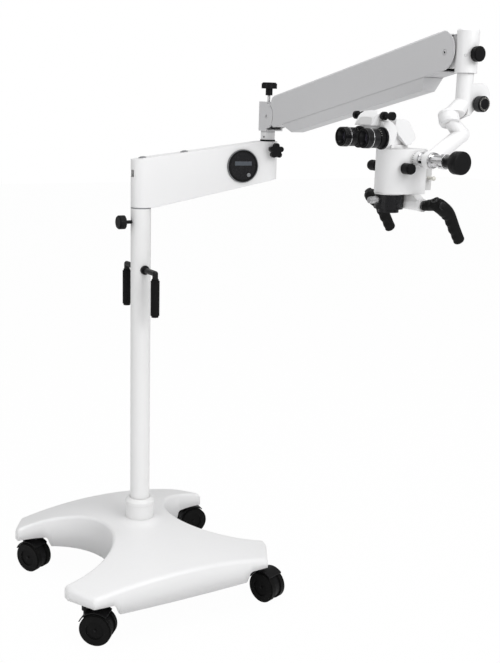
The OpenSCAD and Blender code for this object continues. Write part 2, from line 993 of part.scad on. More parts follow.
module light_unit() {
    fin_pitch = light_size[0] / fins;
    color("slategray")
    at_lower()
    translate([light_x, -light_size[1] / 2, post_top + (light_x - lower_half) * lower_under + plate_t])
        rotate([0, -atan(lower_under), 0])
        difference() {
            cube(light_size);
            for (i = [0:fins - 1])
                translate([(i + fin_start) * fin_pitch, -cut, light_size[2] / 2])
                    cube([fin_pitch * fin_share, light_size[1] + 2 * cut, light_size[2]]);
        }
}

module star_knob() {
    lobe_r = star_lobe_d / 2;
    color("#1a1a1a")
    at_lower()
    translate([star_x, 0, star_z]) {
        bar_y(star_pin_d, -neck_pin_d / 2 - gap, -lower_half - star_stem);
        translate([0, -lower_half - star_stem, 0]) rotate([90, 0, 0]) linear_extrude(height = star_h) {
            circle(r = star_d / 2 - lobe_r);
            for (i = [0:star_lobes - 1])
                rotate(star_turn + i * 360 / star_lobes) translate([star_d / 2 - lobe_r, 0]) circle(r = lobe_r);
        }
    }
}

// The upright axis on which the spring arm turns
module at_neck() {
    translate([neck_x, neck_y, 0]) children();
}

// The lift pivot's own frame, level, with the pivot along X
module at_lift() {
    translate([neck_x, lift_y, lift_z]) children();
}

// The yoke's side, with the pivot at the origin and the back towards +X
module yoke_side() {
    circle(r = eye_r);
    translate([0, -yoke_bottom]) square([yoke_back, yoke_bottom + yoke_top]);
}

module yoke() {
    color("white")
    difference() {
        union() {
            difference() {
                at_lift() rotate([90, 0, 90]) linear_extrude(height = arm_w, center = true) yoke_side();
                at_lift() translate([-cheek_in, -2 * eye_r, yoke_floor - yoke_bottom])
                    cube([2 * cheek_in, 2 * eye_r + yoke_back - yoke_wall, 2 * yoke_top + yoke_bottom]);
            }
            at_neck() difference() {
                translate([0, 0, neck_base]) cylinder(d = neck_d, h = lift_z + yoke_top - neck_base);
                translate([-neck_d, yoke_end - neck_d - yoke_wall, lift_z - yoke_bottom + yoke_floor])
                    cube([2 * neck_d, neck_d, 2 * yoke_top + yoke_bottom]);
            }
            at_neck() translate([0, 0, neck_z - neck_pin_len])
                cylinder(d = neck_pin_d, h = neck_pin_len + ring_t + cut);
            at_lift() translate([0, 0, -link_drop]) bar_along_x(link_pin_d, link_in - gap, cheek_in + cut);
        }
        at_lift() bar_along_x(pin_d + 2 * fit, -arm_w, arm_w);
        at_neck() translate([0, 0, lift_z + yoke_top - tension_depth - gap])
            cylinder(d = tension_rod_d + 2 * fit, h = tension_depth + 2 * cut);
    }
}

module yoke_ring() {
    color("#262626")
    at_neck() translate([0, 0, neck_z]) tube(ring_d, neck_pin_d + 2 * fit, ring_t);
}

// A pivot pin along X, with a hexagon socket in each end
module pivot_pin(half_len) {
    difference() {
        bar_along_x(pin_d, -half_len, half_len);
        for (s = [-1, 1])
            translate([s * half_len, 0, 0]) rotate([0, 90, 0])
                cylinder(d = socket_d, h = 2 * socket_deep, center = true, $fn = 6);
    }
}

module lift_pin() {
    color("silver")
    at_lift() pivot_pin(yoke_half - gap);
}

module tension_knob() {
    color("#151515")
    at_neck() translate([0, 0, lift_z + yoke_top]) {
        translate([0, 0, -tension_depth]) cylinder(d = tension_rod_d, h = tension_depth + tension_rod_up + cut);
        translate([0, 0, tension_rod_up]) cylinder(d = tension_stem, h = tension_stem_h + cut);
        translate([0, 0, tension_rod_up + tension_stem_h]) knob(tension_d, tension_cap, cap_ribs);
    }
}

// The spring arm's own frame: +X runs from the lift pivot to the level pivot
module at_spring() {
    at_lift() rotate([0, 0, -90]) rotate([0, -arm_pitch, 0]) children();
}

// Draws an outline given along the arm and upwards, a width across
module across_arm(width) {
    rotate([90, 0, 0]) linear_extrude(height = width, center = true) children();
}

// The arm's side without its belly
module arm_side() {
    difference() {
        intersection() {
            polygon([
                [0, 0], [arm_up / tan(top_ray), arm_up], [arm_tip, arm_up],
                [arm_tip, -arm_down], [arm_down / tan(low_ray), -arm_down]]);
            union() {
                translate([0, -arm_w]) square([end_x, 2 * arm_w]);
                translate([end_x, (arm_up - arm_down) / 2]) circle(r = end_r);
            }
        }
        circle(r = swing_r);
    }
}

// The arm's cross-section, looking along it, with its upper edges cut
module arm_section(inset) {
    half = yoke_half - inset;
    high = arm_up - inset;
    edge = arm_chamfer - inset / 2;
    polygon([
        [-half, -arm_down - cut], [half, -arm_down - cut], [half, high - edge],
        [half - edge, high], [edge - half, high], [-half, high - edge]]);
}

// Draws a cross-section all along the arm
module along_arm() {
    rotate([90, 0, 90]) linear_extrude(height = arm_tip) children();
}

module arm_top_cover() {
    inner = yoke_half - arm_sheet;
    color("white")
    at_spring()
    difference() {
        intersection() {
            across_arm(arm_w) arm_side();
            along_arm() arm_section(0);
        }
        intersection() {
            across_arm(2 * inner) polygon([
                [0, -arm_down - cut], [0, arm_up - arm_sheet],
                [arm_tip, arm_up - arm_sheet], [arm_tip, -arm_down - cut]]);
            along_arm() arm_section(arm_sheet);
        }
        translate([arm_len - roof_end, arm_sheet / 2 - inner, -arm_down - cut])
            cube([arm_w + end_r, 2 * inner - arm_sheet, arm_up + arm_down + 2 * cut]);
        translate([arm_len, 0, 0]) bar_y(pin_d + 2 * gap, -arm_w, arm_w);
    }
    color("white")
    at_spring() translate([arm_len - belly_end + gap, -inner - arm_sheet / 2, -arm_down])
        cube([belly_end - floor_end, 2 * inner + arm_sheet, arm_sheet]);
}

// The belly's side, drawn in by an inset
module belly_side(inset) {
    low = belly_down - inset;
    last = arm_len - belly_end - inset;
    polygon([
        [belly_start + inset, -arm_down - gap], [last, -arm_down - gap],
        [last - belly_lean, -low], [belly_start + belly_slant + inset, -low]]);
}

// The belly's cross-section, drawn in by an inset
module belly_section(inset) {
    half = yoke_half - inset;
    polygon([
        [-half, -arm_down - gap], [half, -arm_down - gap],
        [half - belly_taper, inset - belly_down], [belly_taper - half, inset - belly_down]]);
}

module arm_belly_cover() {
    color("white")
    at_spring()
    difference() {
        intersection() {
            across_arm(arm_w) belly_side(0);
            along_arm() belly_section(0);
        }
        intersection() {
            across_arm(arm_w) belly_side(arm_sheet);
            along_arm() belly_section(arm_sheet);
        }
    }
}

module arm_beam() {
    bore = pin_d + 2 * fit;
    inner = beam_half - beam_wall;
    ear_out = ear_in + ear_t;
    color("slategray")
    at_spring()
    difference() {
        union() {
            bar_y(2 * boss_r, -beam_half, beam_half);
            bar_y(2 * spacer_r, gap - cheek_in, cheek_in - gap);
            translate([0, -beam_half, -beam_tall]) cube([beam_end, 2 * beam_half, 2 * beam_tall]);
            translate([beam_end - fork_t, -ear_out, -fork_low])
                cube([fork_t, 2 * ear_out, fork_low + beam_tall]);
            for (s = [-1, 1]) {
                translate([beam_end - fork_t, s * (ear_in + ear_t / 2) - ear_t / 2, -fork_low])
                    cube([arm_len + fork_t - beam_end, ear_t, fork_low + beam_tall]);
                translate([arm_len, 0, 0]) bar_y(2 * pivot_r, s * ear_in, s * ear_out);
            }
            for (x = lug_places)
                translate([x, -lug_t / 2, -gas_depth - gas_rod_d]) cube([lug_t, lug_t, gas_depth + gas_rod_d]);
        }
        translate([boss_r + beam_wall, -inner, beam_wall - beam_tall])
            cube([beam_end - fork_t - boss_r - beam_wall, 2 * inner, 2 * (beam_tall - beam_wall)]);
        bar_y(bore, -arm_w, arm_w);
        translate([arm_len, 0, 0]) bar_y(bore, -arm_w, arm_w);
        translate([0, 0, -gas_depth]) bar_along_x(gas_rod_d + 2 * fit, gas_start - lug_t, gas_start + cut);
        translate([0, 0, -gas_depth]) bar_along_x(gas_rod_d + 2 * fit, gas_end, gas_end + 2 * lug_t);
    }
}

module gas_spring() {
    color("#303236")
    at_spring()
    translate([0, 0, -gas_depth]) {
        bar_along_x(gas_d, gas_body, gas_end);
        bar_along_x(gas_rod_d, gas_start - lug_t / 2, gas_body + cut);
        bar_along_x(gas_rod_d, gas_end - cut, gas_end + gas_tail);
    }
}

module level_link() {
    eye = link_w / 2 + link_lip;
    color("silver")
    at_spring()
    translate([-link_drop * sin(arm_pitch), link_in, -link_drop * cos(arm_pitch)])
    difference() {
        union() {
            translate([0, 0, -link_w / 2]) cube([arm_len, link_t, link_w]);
            for (x = [0, arm_len])
                translate([x, 0, 0]) bar_y(2 * eye, 0, link_t);
        }
        for (x = [0, arm_len])
            translate([x, 0, 0]) bar_y(link_pin_d + 2 * fit, -link_t, 2 * link_t);
    }
}

// The head block's frame, level, with the level pivot along X
module at_level() {
    translate([neck_x, level_y, level_z]) children();
}

module head_block() {
    color("white")
    at_level()
    difference() {
        union() {
            translate([0, -block_reach, -block_down])
                cylinder(d = block_d, h = block_down + block_up - block_round);
            translate([0, -block_reach, block_up - block_round])
                cylinder(d1 = block_d, d2 = block_d - 2 * block_round, h = block_round);
            rotate([90, 0, 90]) linear_extrude(height = 2 * beam_half, center = true) {
                circle(r = tongue_r);
                translate([-block_reach, -tongue_r]) square([block_reach, 2 * tongue_r]);
            }
            bar_along_x(2 * spacer_r, gap - ear_in, ear_in - gap);
            translate([0, 0, -link_drop]) bar_along_x(link_pin_d, 0, ear_in - gap);
        }
        bar_along_x(pin_d + 2 * fit, -arm_w, arm_w);
        translate([0, -block_reach, -block_down - cut])
            cylinder(d = swivel_d + 2 * fit, h = swivel_len + gap + cut);
        translate([0, 0, block_knob_z])
            bar_y(knob_pin_d + 2 * fit, -block_reach - block_d, -block_reach - swivel_d / 2);
        translate([-block_slot / 2, block_d / 2 - block_reach - block_slot, block_up - 2 * block_slot])
            cube([block_slot, 2 * block_slot, 4 * block_slot]);
    }
}

module level_pin() {
    color("silver")
    at_level() pivot_pin(yoke_half - gap);
}

module block_knob() {
    face = -block_reach - block_d / 2;
    color("#1c1c1c")
    at_level()
    translate([0, 0, block_knob_z]) {
        bar_y(knob_pin_d, face + knob_pin_in, face - block_knob_stem - cut);
        translate([0, face - block_knob_stem, 0]) rotate([90, 0, 0])
            knob(block_knob_d, block_knob_h, block_ribs);
    }
}

// The swivel axis of the drop arm
module at_swivel() {
    translate([neck_x, swivel_y, 0]) children();
}

// The foot's own frame, whose +Z runs down the inclined axis
module at_foot() {
    translate([foot_x, swivel_y, foot_z]) rotate([0, 0, swing_heading]) rotate([0, 180 - swing_tilt, 0])
        children();
}

// A round rod from one point to another, with its own end diameters
module rod(a, b, d1, d2) {
    v = b - a;
    far = norm(v);
    translate(a) rotate([0, acos(v[2] / far), atan2(v[1], v[0])]) cylinder(d1 = d1, d2 = d2, h = far);
}

module drop_arm() {
    low = bend_z - drop_half;
    web_r = shoulder_r - bend_slim;
    color("white")
    difference() {
        union() {
            at_swivel() {
                translate([0, 0, block_bottom - gap - cut]) cylinder(d = swivel_d, h = swivel_len + cut);
                translate([0, 0, bend_z]) cylinder(d = drop_d, h = block_bottom - gap - bend_z);
                translate([0, 0, bend_z]) sphere(d = drop_d);
                rod([0, 0, bend_z], [-foot_shift, 0, foot_z], drop_d - bend_slim, foot_d - 2 * bend_slim);
                translate([shoulder_out, 0, shoulder_z]) bar_y(2 * shoulder_r, -shoulder_half, shoulder_half);
                rotate([90, 0, 0]) linear_extrude(height = 2 * shoulder_half, center = true)
                    polygon([
                        [0, shoulder_z + web_r], [shoulder_out, shoulder_z + web_r],
                        [shoulder_out, shoulder_z - web_r], [drop_half - shoulder_pull, low],
                        [-shoulder_pull, foot_z], [0, bend_z]]);
            }
            at_foot() translate([0, 0, -swing_joint - foot_collar]) cylinder(d = foot_d, h = foot_collar);
        }
        at_foot() translate([0, 0, -swing_joint]) cylinder(d = 2 * foot_d, h = foot_d);
        at_foot() translate([0, 0, -swing_joint - swing_pin_len - gap])
            cylinder(d = swing_pin_d + 2 * fit, h = 2 * swing_pin_len);
        at_swivel() translate([drop_knob_x, 0, drop_knob_z])
            bar_y(knob_pin_d + 2 * fit, -shoulder_half + knob_pin_in + gap, -foot_d);
    }
}

module drop_knob() {
    start = -shoulder_half - gap - knob_lift;
    color("#8f8f8f")
    at_swivel() translate([drop_knob_x, 0, drop_knob_z]) {
        bar_y(knob_pin_d, -shoulder_half + knob_pin_in, start - cut);
        translate([0, start, 0]) rotate([90, 0, 0]) knob(drop_knob_d, drop_knob_h, drop_ribs);
    }
}

// The tilt axis of the microscope head, along Y
module at_tilt() {
    translate([tilt_x, 0, tilt_z]) children();
}

module swan_neck() {
    foot = [foot_x, swivel_y, foot_z];
    color("white")
    difference() {
        union() {
            difference() {
                union() {
                    at_foot() {
                        translate([0, 0, gap - swing_joint]) cylinder(d = foot_d, h = swing_joint + head_low);
                        translate([0, 0, head_low])
                            cylinder(d1 = foot_d, d2 = swan_head_d, h = head_face - head_low);
                    }
                    rod(foot, foot + swan_mid, swan_d - swan_slim, swan_d);
                }
                at_foot() translate([0, 0, gap - swing_joint - foot_d]) cylinder(d = 2 * foot_d, h = foot_d);
            }
            at_foot() translate([0, 0, -swing_joint - swing_pin_len])
                cylinder(d = swing_pin_d, h = 2 * swing_pin_len);
            translate(foot + swan_mid) sphere(d = swan_d + swan_over);
            rod(foot + swan_mid, [tilt_x, (swan_y + barrel_y) / 2, tilt_z], swan_d, swan_d);
            at_tilt() bar_y(swan_d + 2 * swan_over, swan_y, barrel_y);
        }
        at_tilt() bar_y(ring_wide_d + 2 * swan_slim, swan_y, swan_y + 2 * swan_d);
        at_tilt() bar_y(barrel_rim_d + 2 * swan_over, barrel_y, barrel_y - 2 * swan_d);
        at_tilt() bar_y(tilt_shaft_d + 2 * fit, swan_y + cut, barrel_y - cut);
    }
}

module tilt_barrel() {
    color("silver")
    at_tilt()
    difference() {
        union() {
            bar_y(barrel_d, barrel_y, barrel_y - barrel_len);
            bar_y(barrel_rim_d, barrel_y, barrel_y - barrel_rim);
            for (s = [-1, 1])
                translate([0, barrel_y - barrel_len / 2, s * (barrel_d / 2 - bump_sunk)])
                    sphere(d = barrel_bump);
        }
        bar_y(tilt_shaft_d + 2 * fit, barrel_y + cut, barrel_y - barrel_len - cut);
    }
}

module tilt_knob() {
    disc_y = knob_y - knob_neck;
    dome_r = (tilt_knob_d * tilt_knob_d / 4 + knob_dome * knob_dome) / (2 * knob_dome);
    color("#141414")
    at_tilt() {
        bar_y(tilt_shaft_d, knob_y + knob_spigot, knob_y - cut);
        bar_y(knob_neck_d, knob_y, disc_y - cut);
        bar_y(tilt_knob_d, disc_y, disc_y - knob_rim);
        intersection() {
            bar_y(tilt_knob_d, disc_y - cut, disc_y - knob_rim - 2 * knob_dome);
            translate([0, dome_r - knob_dome - knob_rim + disc_y, 0]) sphere(r = dome_r, $fn = fine / 2);
        }
    }
}

// The optical axis: +X is away from the user, the floor is at 0
module at_optic() {
    translate([optic_x, optic_y, 0]) children();
}

// The microscope body's plan, drawn in by an inset
module body_plan(inset) {
    half = body_half_w - inset;
    intersection() {
        translate([body_shift - half, -half]) square([body_back - body_shift + body_half_w - 2 * inset, 2 * half]);
        union() {
            translate([body_shift, 0]) circle(r = half, $fn = fine / 2);
            translate([body_shift, -half]) square([body_back, 2 * half]);
        }
    }
}

module head_shell() {
    color("white")
    at_optic()
    difference() {
        union() {
            translate([0, 0, body_bottom]) linear_extrude(height = body_h - body_edge) body_plan(0);
            translate([0, 0, body_bottom]) linear_extrude(height = body_h) body_plan(body_edge);
        }
        translate([0, 0, body_bottom + body_wall]) linear_extrude(height = body_h - 2 * body_wall)
            body_plan(body_wall);
        translate([0, 0, body_bottom - cut]) cylinder(d = light_path_d, h = body_wall + 2 * cut);
        for (s = [-1, 1])
            translate([0, s * path_side, body_top - 2 * body_wall]) cylinder(d = path_d, h = 3 * body_wall);
        translate([0, 0, mag_z]) bar_y(mag_shaft_d + 2 * fit, -body_w, body_w);
        translate([tilt_back, 0, tilt_z]) bar_y(tilt_shaft_d + 2 * fit, 0, -body_w);
    }
}

module head_rear_cover() {
    tall = body_h - 2 * rear_drop;
    color("gainsboro")
    at_optic()
    translate([body_back, 0, body_bottom + rear_drop])
    difference() {
        union() {
            translate([0, -rear_half, 0]) cube([rear_len - rear_edge, 2 * rear_half, tall]);
            translate([0, rear_edge - rear_half, rear_edge])
                cube([rear_len, 2 * (rear_half - rear_edge), tall - 2 * rear_edge]);
        }
        translate([-cut, body_wall - rear_half, body_wall])
            cube([rear_len - body_wall - rear_edge + cut, 2 * (rear_half - body_wall), tall - 2 * body_wall]);
        translate([rear_len / 2, -rear_half - cut, lever_z - body_bottom - rear_drop])
            bar_y(lever_d + 2 * fit, 0, body_wall + 2 * cut);
    }
}

module tilt_ring() {
    color("white")
    at_tilt()
    difference() {
        bar_y(ring_wide_d, optic_y - body_half_w, optic_y - body_half_w - ring_w);
        bar_y(tilt_shaft_d + 2 * fit, optic_y, optic_y - body_w);
    }
}

module tilt_shaft() {
    face = optic_y - body_half_w;
    color("silver")
    at_tilt() {
        bar_y(tilt_shaft_d, face + tilt_in, knob_y + knob_spigot + gap);
        bar_y(ring_wide_d, face + body_wall + tilt_in / 2, face + body_wall);
        bar_y(groove_d, face - ring_w, swan_y + gap);
    }
}

module objective_housing() {
    color("#202124")
    at_optic()
    difference() {
        union() {
            translate([0, 0, body_bottom - objective_h]) cylinder(d = objective_d, h = objective_h);
            translate([0, 0, body_bottom - objective_h - objective_ring_h])
                cylinder(d = objective_ring_d, h = objective_ring_h + cut);
        }
        translate([0, 0, body_bottom - 2 * objective_h])
            cylinder(d = lens_d + 2 * fit, h = 2 * objective_h + cut);
        translate([0, 0, focus_z]) bar_along_x(focus_pin_d + 2 * fit, -objective_d, 0);
    }
}

module objective_lens() {
    color("lightsteelblue")
    at_optic() translate([0, 0, body_bottom - objective_h - objective_ring_h + lens_sunk]) {
        cylinder(d = lens_d, h = lens_t);
        intersection() {
            translate([0, 0, -lens_bulge]) cylinder(d = lens_d - 2 * lens_bulge, h = lens_t);
            translate([0, 0, lens_curve - lens_bulge]) sphere(r = lens_curve, $fn = fine / 2);
        }
    }
}

module focus_knob() {
    start = -objective_d / 2 - gap;
    color("silver")
    at_optic() translate([0, 0, focus_z]) {
        bar_along_x(focus_pin_d, start - cut, -lens_d / 2 - cut);
        translate([start, 0, 0]) rotate([0, -90, 0]) knob(focus_d, focus_len, focus_ribs);
    }
}

module handle_bar() {
    color("gainsboro")
    at_optic()
    difference() {
        union() {
            translate([bar_x, 0, bar_z]) bar_y(bar_d, -bar_half, bar_half);
            translate([bar_x - bar_d / 2 + bar_wall, 0, bar_z]) rotate([90, 0, 90])
                linear_extrude(height = bar_d - 2 * bar_wall)
                    polygon([
                        [-web_low, 0], [web_low, 0], [web_low, web_rise],
                        [web_top, bar_drop], [-web_top, bar_drop], [-web_low, web_rise]]);
            for (s = [-1, 1])
                translate([bar_x, 0, bar_z]) bar_y(bar_d + 2 * bar_lip, s * (bar_half - bar_end), s * bar_half);
        }
        translate([0, 0, body_bottom - 2 * objective_h])
            cylinder(d = objective_d + 2 * gap, h = 3 * objective_h);
        translate([bar_x, 0, bar_z]) bar_y(bar_d - 2 * bar_wall, -2 * bar_half, bar_end - bar_half);
        translate([bar_x, 0, bar_z]) bar_y(bar_d - 2 * bar_wall, bar_half - bar_end, 2 * bar_half);
        translate([bar_x - bar_d, -bar_half - cut, body_bottom])
            cube([2 * bar_d, 2 * bar_half + 2 * cut, bar_d]);
    }
}

// One handle, on the side given by the sign, thickest at its elbow
module handle(side) {
    root_d = bar_d - 2 * bar_wall;
    root_y = bar_half + handle_d / 3;
    root = [bar_x, side * root_y, bar_z];
    elbow = [elbow_x, side * handle_side, elbow_z];
    tip = elbow + [handle_lean, 0, -handle_fall];
    span = norm(tip - elbow);
    difference() {
        union() {
            translate([bar_x, 0, bar_z]) bar_y(root_d, side * (bar_half - bar_end), side * root_y);
            translate(root) sphere(d = root_d + elbow_wide);
            rod(root, elbow, root_d, elbow_d - elbow_wide);
            translate(elbow) sphere(d = elbow_d);
            rod(elbow, tip, elbow_d - elbow_wide, handle_d);
            translate(tip) sphere(d = handle_d + elbow_wide);
        }
        translate(elbow) rotate([0, acos((tip - elbow)[2] / span), 0])
            for (share = groove_shares)
                translate([
                    finger_r - finger_deep + (elbow_d + (handle_d - elbow_d) * share) / 2,
                    0,
                    share * span])
                    bar_y(2 * finger_r, -elbow_d, elbow_d);
    }
}

module handle_grips() {
    color("#141414")
    at_optic()
    for (side = [-1, 1])
        handle(side);
}

module mag_drum() {
    start = body_half_w + gap;
    color("#1b1b1b")
    at_optic() translate([0, 0, mag_z])
    difference() {
        union() {
            bar_y(mag_drum_d, -mag_drum_half, mag_drum_half);
            bar_y(mag_shaft_d, -start - cut, start + cut);
            translate([0, start, 0]) rotate([-90, 0, 0]) knob(mag_knob_d, mag_len, mag_ribs);
            translate([0, -start, 0]) rotate([90, 0, 0]) knob(mag_knob_d, mag_len, mag_ribs);
        }
        for (s = [-1, 1], turn = [0, 60, 120])
            rotate([0, turn, 0]) translate([0, s * path_side, -mag_drum_d])
                cylinder(d = drum_bore_d, h = 2 * mag_drum_d);
    }
}

module filter_lever() {
    color("ivory")
    at_optic() translate([lever_x, 0, lever_z]) {
        bar_y(lever_d, -rear_half + lever_in, -rear_half - lever_len);
        translate([0, -rear_half - lever_len, 0]) sphere(d = lever_d + lever_tip);
    }
}

// Draws an outline given backwards and upwards from the optical axis and the tilt axis
module across_head(width) {
    translate([optic_x, optic_y, tilt_z]) rotate([90, 0, 0]) linear_extrude(height = width, center = true)
        children();
}

// The axis of the binocular's tilting drum, along Y at the origin
module at_drum() {
    translate([optic_x + drum_x, optic_y, tilt_z + drum_rise]) children();
}

module bino_base() {
    color("white")
    difference() {
        union() {
            difference() {
                union() {
                    across_head(2 * cheek_half) polygon(cheek_outline);
                    across_head(2 * core_half) polygon(core_outline);
                    at_optic() translate([0, 0, body_top]) cylinder(d = bino_foot_d, h = bino_lift);
                }
                at_drum() bar_y(2 * (drum_r + gap), -body_w, body_w);
            }
            at_drum() {
                bar_y(2 * tongue_eye_r, -tongue_half, tongue_half);
                translate([0, -tongue_half, -tongue_t / 2]) cube([tongue_reach, 2 * tongue_half, tongue_t]);
            }
        }
        at_drum() bar_y(hinge_pin_d + 2 * fit, -body_w, body_w);
        for (s = [-1, 1])
            at_optic() translate([0, s * path_side, body_top - cut]) cylinder(d = path_d, h = drum_rise / 2);
    }
}

// The front plate on which the eyepieces slide, looking along X
module front_plate() {
    for (s = [-1, 1])
        translate([s * plate_half, 0]) circle(r = plate_r);
    translate([-plate_half, -plate_r]) square([2 * plate_half, 2 * plate_r]);
}

// Draws a cross-section of the binocular from one distance to another
module along_housing(from, to) {
    translate([optic_x + from, optic_y, eye_z]) rotate([90, 0, 90]) linear_extrude(height = to - from)
        children();
}

module bino_housing() {
    front = flange_t + gap - eye_back;
    slide_in = eye_gap / 2 - eye_travel;
    color("white")
    difference() {
        union() {
            at_drum() intersection() {
                bar_y(2 * drum_r, -drum_half, drum_half);
                translate([front - drum_x, -drum_half, -drum_r]) cube([2 * drum_r, 2 * drum_half, 2 * drum_r]);
            }
            along_housing(front, front + plate_deep) front_plate();
            intersection() {
                across_head(2 * crown_half) polygon(crown_outline);
                along_housing(-eye_front, 0) translate([0, -eye_rise]) polygon([
                    [-crown_half, crown_low], [crown_half, crown_low],
                    [crown_half, crown_top - crown_edge], [crown_half - crown_edge, crown_top],
                    [crown_edge - crown_half, crown_top], [-crown_half, crown_top - crown_edge]]);
            }
        }
        for (s = [-1, 1])
            at_drum() intersection() {
                bar_y(2 * (drum_r - housing_wall), s * web_half, s * (drum_half - housing_wall));
                translate([front + housing_wall - drum_x, -drum_half, -drum_r])
                    cube([2 * drum_r, 2 * drum_half, 2 * drum_r]);
            }
        for (s = [-1, 1])
            along_housing(front - cut, front + plate_deep / 2) {
                translate([s * slide_in, 0]) circle(d = window_d);
                translate([s * eye_gap / 2, 0]) circle(d = window_d);
                translate([s * (slide_in + eye_gap / 2) / 2, 0]) square([eye_travel, window_d], center = true);
            }
        at_drum() translate([-tongue_eye_r - gap, -tongue_half - gap, -slot_down])
            cube([2 * drum_r, 2 * (tongue_half + gap), slot_down + slot_up]);
        translate([optic_x - bino_knob_x, optic_y, bino_knob_z])
            bar_y(bino_shaft_d + 2 * fit, -eye_gap, eye_gap);
    }
    at_drum() color("white") bar_y(hinge_pin_d, -web_half, web_half);
}

module bino_shaft() {
    start = crown_half + bino_knob_gap;
    color("#1a1a1a")
    translate([optic_x - bino_knob_x, optic_y, bino_knob_z])
    for (s = [-1, 1]) {
        bar_y(bino_shaft_d, 0, s * (start + bino_knob_rim));
        bar_y(bino_knob_d, s * start, s * (start + bino_knob_rim));
        bar_y(bino_waist_d, s * start, s * (start + bino_knob_len));
        bar_y(bino_knob_d, s * (start + bino_knob_len - bino_knob_rim), s * (start + bino_knob_len));
    }
}

// One eyepiece along X, with its soft cup, its chrome ring and its tube
module eyepiece(side) {
    cup = eye_front - ring_len;
    back = eye_back + ring_len;
    color("#18181a")
    translate([optic_x, optic_y + side * eye_gap / 2, eye_z])
    difference() {
        union() {
            bar_along_x(eye_d, -eye_front, -cup);
            bar_along_x(eye_d + rim_wide, -cup, rim_t - cup);
            bar_along_x(eye_d - rim_wide, -cup, -back);
            bar_along_x(tube_d, -back - cut, cut - eye_back);
            bar_along_x(flange_d, -eye_back, flange_t - eye_back);
        }
        translate([-eye_front - cut, 0, 0]) rotate([0, 90, 0])
            cylinder(d1 = eye_d - 2 * cup_rim, d2 = eye_lens_d, h = cup_deep);
        bar_along_x(eye_lens_d, -eye_front, -eye_front + cup_deep + rim_t);
        bar_along_x(eye_lens_d, -eye_front + cup_deep + 3 * rim_t, 0);
    }
}

module eyepiece_left() { eyepiece(1); }
module eyepiece_right() { eyepiece(-1); }

module diopter_ring(side) {
    color("#1c1c1e")
    translate([optic_x - eye_back - gap, optic_y + side * eye_gap / 2, eye_z]) rotate([0, -90, 0])
    difference() {
        knob(eye_d, ring_len - 2 * gap, diopter_ribs);
        translate([0, 0, -cut]) cylinder(d = tube_d + 2 * fit, h = ring_len + 2 * cut);
    }
}

module diopter_ring_left() { diopter_ring(1); }
module diopter_ring_right() { diopter_ring(-1); }

base_cover();
base_frame();
post_collar();
post_tube();
post_bush();
grip_stems();
push_grips();
post_knob();
caster_hood_1();
caster_hood_2();
caster_hood_3();
caster_hood_4();
caster_wheels_1();
caster_wheels_2();
caster_wheels_3();
caster_wheels_4();
lower_arm_shell();
lower_arm_cover();
arm_spindle();
arm_caps();
display_bezel();
display_screen();
power_button();
light_unit();
star_knob();
yoke();
yoke_ring();
lift_pin();
tension_knob();
arm_top_cover();
arm_belly_cover();
arm_beam();
gas_spring();
level_link();
head_block();
level_pin();
block_knob();
drop_arm();
drop_knob();
swan_neck();
tilt_barrel();
tilt_knob();
head_shell();
head_rear_cover();
tilt_ring();
tilt_shaft();
objective_housing();
objective_lens();
focus_knob();
handle_bar();
handle_grips();
mag_drum();
filter_lever();
bino_base();
bino_housing();
bino_shaft();
eyepiece_left();
eyepiece_right();
diopter_ring_left();
diopter_ring_right();
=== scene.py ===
import math
import bpy
import bmesh
from mathutils import Matrix, Vector


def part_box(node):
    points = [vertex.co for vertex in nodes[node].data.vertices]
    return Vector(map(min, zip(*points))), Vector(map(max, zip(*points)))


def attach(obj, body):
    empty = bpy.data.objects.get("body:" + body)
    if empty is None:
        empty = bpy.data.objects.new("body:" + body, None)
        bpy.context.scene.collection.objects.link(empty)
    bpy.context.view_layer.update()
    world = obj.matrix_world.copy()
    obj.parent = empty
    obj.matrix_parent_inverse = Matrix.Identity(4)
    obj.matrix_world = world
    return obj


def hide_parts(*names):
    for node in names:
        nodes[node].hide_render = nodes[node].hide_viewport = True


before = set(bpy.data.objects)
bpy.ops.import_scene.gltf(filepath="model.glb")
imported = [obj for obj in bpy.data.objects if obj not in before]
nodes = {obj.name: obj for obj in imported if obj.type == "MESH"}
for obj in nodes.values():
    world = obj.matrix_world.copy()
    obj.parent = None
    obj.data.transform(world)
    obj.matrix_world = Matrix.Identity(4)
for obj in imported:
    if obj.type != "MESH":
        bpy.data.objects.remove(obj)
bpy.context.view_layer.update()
print("frame loaded,", len(nodes), "nodes")


class Sock:
    def __init__(self, graph, out):
        self.graph = graph
        self.out = out

    def calc(self, operation, first, second=None):
        return self.graph.add("ShaderNodeMath", {"operation": operation}, {0: first, 1: second})

    def __add__(self, other):
        return self.calc("ADD", self, other)

    def __radd__(self, other):
        return self.calc("ADD", other, self)

    def __sub__(self, other):
        return self.calc("SUBTRACT", self, other)

    def __rsub__(self, other):
        return self.calc("SUBTRACT", other, self)

    def __mul__(self, other):
        return self.calc("MULTIPLY", self, other)

    def __rmul__(self, other):
        return self.calc("MULTIPLY", other, self)

    def above(self, edge, soft=0.05):
        return self.graph.add("ShaderNodeMapRange", {"interpolation_type": "SMOOTHSTEP"},
                              {0: self, 1: edge - soft, 2: edge + soft})

    def part(self, index):
        split = self.graph.tree.nodes.new("ShaderNodeSeparateXYZ")
        self.graph.tree.links.new(self.out, split.inputs[0])
        return Sock(self.graph, split.outputs[index])

    def least(self, other):
        return self.calc("MINIMUM", self, other)


